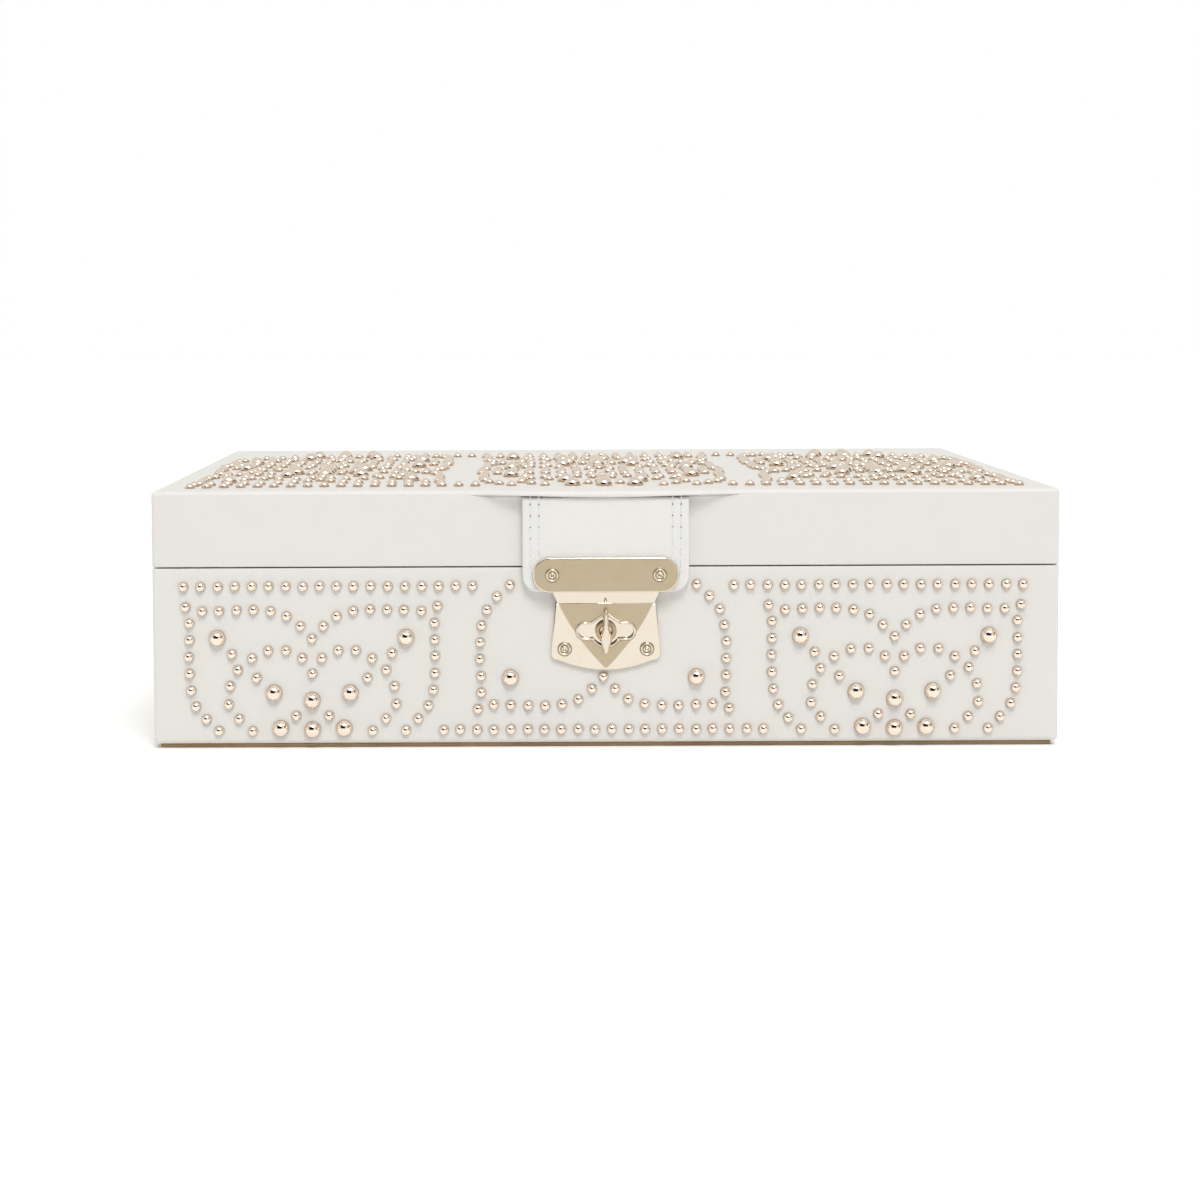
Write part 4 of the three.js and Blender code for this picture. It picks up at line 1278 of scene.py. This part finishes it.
def make_knob():
    """The turn knob: a waisted wing with a ridge down its front, wider and lower at its boss."""
    back, front = knob_low.y + 3.6 * MM, knob_low.y
    half = (knob_high.z - knob_low.z) / 2
    # (height from the middle, half width in mm, share of the full depth), from the bottom up
    stations = [(-1.0, 0.3, 0.25), (-0.96, 0.65, 0.5), (-0.86, 0.9, 0.62), (-0.7, 1.25, 0.68),
                (-0.55, 1.65, 0.7), (-0.4, 1.95, 0.7), (-0.25, 1.95, 0.72), (-0.1, 1.75, 0.78),
                (0.05, 1.4, 0.88), (0.18, 1.1, 0.96), (0.35, 0.95, 1.0), (0.7, 0.88, 1.0),
                (0.88, 0.78, 0.94), (0.96, 0.55, 0.75), (1.0, 0.25, 0.45)]
    sides = 12
    verts = []
    path = spline([(t * half, w * MM, d) for t, w, d in stations], 3)
    for z, width, depth in path:
        for k in range(sides + 1):
            angle = math.pi * k / sides
            y = back - (back - front) * depth * (0.12 + 0.88 * math.sin(angle) ** 0.8)
            verts.append((width * math.cos(angle), y, KNOB_Z + z))
        verts += [(-width, back, KNOB_Z + z), (width, back, KNOB_Z + z)]
    knob = mesh_piece("knob_wing", verts, ring_faces(len(path), sides + 3, capped=True), POLISHED_GOLD)
    sharpen(knob, 60)
    settle(knob, "turn_knob", "gold", "turn_knob")
    stem = lathe("knob_stem", [(1e-9, back + 0.3 * MM), (1.6 * MM, back - 0.05 * MM), (1.6 * MM, knob_high.y),
                 (1e-9, knob_high.y)], (0, KNOB_Z), POLISHED_GOLD)
    sharpen(stem, 40)
    settle(stem, "turn_knob", "gold")


make_hasp()
make_rivets()
make_lock_plate()
make_collar()
make_knob()


# ------------------------------------------------------------------ lined boards and pads

def soft_box(name, low, high, material, edge=0.8, puff=0.0, pitch=6.0):
    """A box with rounded edges whose broad faces swell a little, as wrapped board does."""
    half = (high - low) / 2
    centre = (high + low) / 2
    radius = min(edge * MM, min(half) * 0.9)
    thin = min(range(3), key=lambda i: half[i])
    lines = []
    for axis in range(3):
        inner = half[axis] - radius
        count = max(1, min(40, round(2 * inner / (pitch * MM)))) if axis != thin else 1
        values = [-inner + 2 * inner * k / count for k in range(count + 1)]
        ends = [half[axis] - radius * (1 - math.tan(math.radians(a))) for a in (0, 22.5, 45)]
        lines.append(sorted(set(round(v, 8) for v in values + ends + [-e for e in ends])))

    def shaped(point):
        core = Vector([min(max(point[i], radius - half[i]), half[i] - radius) for i in range(3)])
        away = point - core
        out = core + (away.normalized() * radius if away.length > 1e-12 else away)
        if puff and abs(point[thin]) > half[thin] - radius - 1e-7:
            share = math.prod(1 - (abs(point[i]) / half[i]) ** 4 for i in range(3) if i != thin)
            out[thin] += math.copysign(puff * MM * share, point[thin])
        return centre + out

    verts, faces = [], []
    for axis in range(3):
        u, v = [i for i in range(3) if i != axis]
        for sign in (-1, 1):
            faces += grid_faces(len(verts), len(lines[u]), len(lines[v]))
            for b in lines[v]:
                for a in lines[u]:
                    point = Vector((0, 0, 0))
                    point[axis], point[u], point[v] = sign * half[axis], a, b
                    verts.append(shaped(point))
    return mesh_piece(name, verts, faces, material)


def paint_kept_nodes():
    """The CAD nodes whose shape is right as it is, and what each is made of."""
    kept = [(FIBREBOARD, "case_front_board case_back_board case_left_board case_right_board"),
            (FIBREBOARD, "case_floor_board lid_top_board"), (FOAM, "lid_foam"),
            (PIN_STEEL, "knob_washer hinge_left_pin hinge_right_pin")]
    for material, names in kept:
        for name in names.split():
            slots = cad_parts[name].data.materials
            slots.clear()
            slots.append(material)


def make_linings():
    for side in ("front", "back", "left", "right"):
        wrapped_card(f"lining_{side}", "case", SUEDE, edge=0.9)
        wrapped_card(f"lid_{side}_board", "lid", SUEDE, edge=0.6)
    for name in ("divider_left", "divider_right", "cross_left", "cross_right",
                 "cross_middle_front", "cross_middle_back"):
        wrapped_card(name, "case", SUEDE, edge=1.3, puff=0.1)
    wrapped_card("base_pad", "case", BASE_CLOTH, edge=0.5)
    wrapped_card("floor_pad", "case", SUEDE, edge=1.2, puff=0.12)
    wrapped_card("ring_bed", "case", SUEDE, edge=2.0, puff=0.15)


def wrapped_card(node, body, material, edge, puff=0.0):
    low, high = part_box(node)
    piece = soft_box(f"{node}_wrapped", low, high, material, edge=edge, puff=puff)
    slot = "base_cloth" if material is BASE_CLOTH else "suede"
    return settle(piece, body, slot, node)


def ring_profile(low, high, edge, steps=4):
    """A slab's rounded cross-section: (share of the way inwards, inset, height) round its four corners."""
    thick = high.z - low.z
    radius = min(edge * MM, thick * 0.45)
    out = []
    for outer, up, first in ((True, False, 270), (True, True, 0), (False, True, 90), (False, False, 180)):
        for k in range(steps + 1):
            angle = math.radians(first + 90 * k / steps)
            inset = radius - radius * math.cos(angle) if outer else -radius - radius * math.cos(angle)
            z = (high.z - radius if up else low.z + radius) + radius * math.sin(angle)
            out.append((outer, inset, z))
    return out


def framed_panel(name, low, high, window, material, edge):
    """A flat panel with a rectangular window and soft edges, made of rings round the window."""
    corners = ((-1, -1), (0, -1), (1, -1), (1, 0), (1, 1), (0, 1), (-1, 1), (-1, 0))
    rows = ring_profile(low, high, edge)
    verts = []
    for outer, inset, z in rows:
        half_x, half_y = (high.x - inset, high.y - inset) if outer else (window[0] - inset, window[1] - inset)
        verts += [(x * half_x, y * half_y, z) for x, y in corners]
    return mesh_piece(name, verts, ring_faces(len(rows), len(corners), closed=True), material)


def make_lid_liner():
    low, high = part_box("lid_liner_panel")
    mirror_low, mirror_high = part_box("lid_mirror")
    gap = 0.25 * MM
    window = (mirror_high.x + gap, mirror_high.y + gap)
    panel = framed_panel("lid_liner_wrapped", low, high, window, SUEDE, 0.8)
    sharpen(panel, 60)
    settle(panel, "lid", "suede", "lid_liner_panel")
    glass = soft_box("mirror_glass", mirror_low, mirror_high, MIRROR, edge=0.35, pitch=60.0)
    sharpen(glass, 30)
    settle(glass, "lid", "mirror", "lid_mirror")


# ------------------------------------------------------------------ the ring rolls

ROLL_VOXEL = 1.6
ROLL_SWELL_CAP = 0.45
SIM_SCALE = 10.0  # the cloth solver is at home with things the size of a cushion
SIM_FRAMES = 20


def stuff(obj, voxel, pressure, cap):
    """Swells a sewn shape by its stuffing, and never moves a point by more than `cap` metres."""
    modify(obj, "REMESH", mode="VOXEL", voxel_size=voxel, use_smooth_shade=True)
    obj = freeze(obj)
    rest = [v.co.copy() for v in obj.data.vertices]
    obj.data.transform(Matrix.Scale(SIM_SCALE, 4))
    cloth = modify(obj, "CLOTH")
    cloth.settings.use_pressure = True
    cloth.settings.uniform_pressure_force = pressure
    cloth.settings.effector_weights.gravity = 0.0
    cloth.point_cache.frame_start, cloth.point_cache.frame_end = 1, SIM_FRAMES
    for step in range(1, SIM_FRAMES + 1):
        scene.frame_set(step)
    obj = freeze(obj)
    scene.frame_set(1)
    obj.data.transform(Matrix.Scale(1 / SIM_SCALE, 4))
    for vertex, start in zip(obj.data.vertices, rest):
        move = vertex.co - start
        if move.length > cap:
            vertex.co = start + move.normalized() * cap
    modify(obj, "SUBSURF", levels=1, render_levels=1)
    obj = freeze(obj)
    sharpen(obj, 80)
    return obj


def make_ring_roll(node):
    """A stuffed roll with a slightly waved skin, and a bead of piping round each end."""
    low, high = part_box(node)
    radius = (high.z - low.z) / 2 - ROLL_SWELL_CAP * MM
    start, stop = low.x + 0.7 * MM, high.x - 0.7 * MM
    centre = ((low.y + high.y) / 2, (low.z + high.z) / 2)
    soft = 2.2 * MM
    nose = [(radius - soft * (1 - math.sin(a)), start + soft * (1 - math.cos(a)))
            for a in (math.radians(v) for v in (0, 22.5, 45, 67.5, 90))]
    middle = [(radius - 0.12 * MM * math.cos(2 * math.pi * 4 * t), start + (stop - start) * t)
              for t in (k / 32 for k in range(2, 31))]
    tail = [(r, start + stop - x) for r, x in reversed(nose)]
    roll = lathe(f"{node}_stuffed", nose + middle + tail, centre, ROLL_SUEDE, "X", 40, capped=True)
    roll = stuff(roll, ROLL_VOXEL * MM, 4.0, ROLL_SWELL_CAP * MM)
    settle(roll, "case", "suede", node)
    for label, x in (("left", low.x + 1.4 * MM), ("right", high.x - 1.4 * MM)):
        bead = [(radius - 1.0 * MM + 0.45 * MM * math.sin(a), x + 0.45 * MM * math.cos(a))
                for a in (math.radians(45 * k) for k in range(8))]
        piping = lathe(f"{node}_piping_{label}", bead, centre, ROLL_SUEDE, "X", 40, closed=True)
        settle(piping, "case", "suede")


# ------------------------------------------------------------------ hinges and screws

def softened_copy(node, name, material, width):
    """The CAD shape with its edges eased, so that they catch the light."""
    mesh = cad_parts[node].data.copy()
    mesh.name = name
    with editing(mesh) as bm:
        bmesh.ops.remove_doubles(bm, verts=bm.verts, dist=1e-6)
        bmesh.ops.dissolve_limit(bm, angle_limit=math.radians(1), verts=bm.verts, edges=bm.edges)
        bmesh.ops.recalc_face_normals(bm, faces=bm.faces)
    mesh.materials.clear()
    mesh.materials.append(material)
    copy = new_object(name, mesh)
    modify(copy, "BEVEL", width=width * MM, segments=2, limit_method="ANGLE", angle_limit=math.radians(50))
    copy = freeze(copy)
    sharpen(copy, 40)
    return copy


def box_mesh(name, size):
    x, y, z = (v / 2 for v in size)
    verts = [(i * x, j * y, k * z) for k in (-1, 1) for j in (-1, 1) for i in (-1, 1)]
    faces = [(0, 2, 3, 1), (4, 5, 7, 6), (0, 1, 5, 4), (2, 6, 7, 3), (0, 4, 6, 2), (1, 3, 7, 5)]
    return mesh_piece(name, verts, faces, POLISHED_GOLD, smooth=False)


def make_screw(node, body, up):
    """A countersunk screw: a low dome with a crossed slot, facing up or down."""
    low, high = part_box(node)
    centre = ((low.x + high.x) / 2, (low.y + high.y) / 2)
    head, face, tip = (MM, high.z, low.z) if up else (-MM, low.z, high.z)
    radius = (high.x - low.x) / 2
    profile = [(1e-9, face), (0.45 * radius, face - head * 0.03), (0.85 * radius, face - head * 0.14),
               (radius, face - head * 0.32), (radius, face - head * 0.45),
               (0.8 * MM, face - head * 1.1), (0.7 * MM, tip + head * 0.6), (1e-9, tip)]
    screw = lathe(f"{node}_slotted", profile, centre, POLISHED_GOLD, "Z", 24)
    spin = random.Random(node).uniform(0, math.pi)
    for quarter in range(2):
        cutter = box_mesh("slot_cutter", (2 * radius * 0.62, 0.34 * MM, 0.7 * MM))
        turn = Matrix.Rotation(spin + quarter * math.pi / 2, 4, "Z")
        cutter.data.transform(Matrix.Translation((*centre, face)) @ turn)
        modify(screw, "BOOLEAN", operation="DIFFERENCE", object=cutter, solver="EXACT")
        screw = freeze(screw)
        bpy.data.objects.remove(cutter)
    sharpen(screw, 35)
    settle(screw, body, "gold", node)


def make_hinges():
    for side in ("left", "right"):
        for half, body in (("case", "case"), ("lid", "lid")):
            node = f"hinge_{side}_{half}_leaf"
            leaf = softened_copy(node, f"{node}_eased", POLISHED_GOLD, 0.15)
            settle(leaf, body, "gold", node)
            for number in (1, 2):
                make_screw(f"{half}_screw_{side}_{number}", body, half == "case")


paint_kept_nodes()
make_linings()
make_lid_liner()
for number in range(1, 7):
    make_ring_roll(f"ring_roll_{number}")
make_hinges()
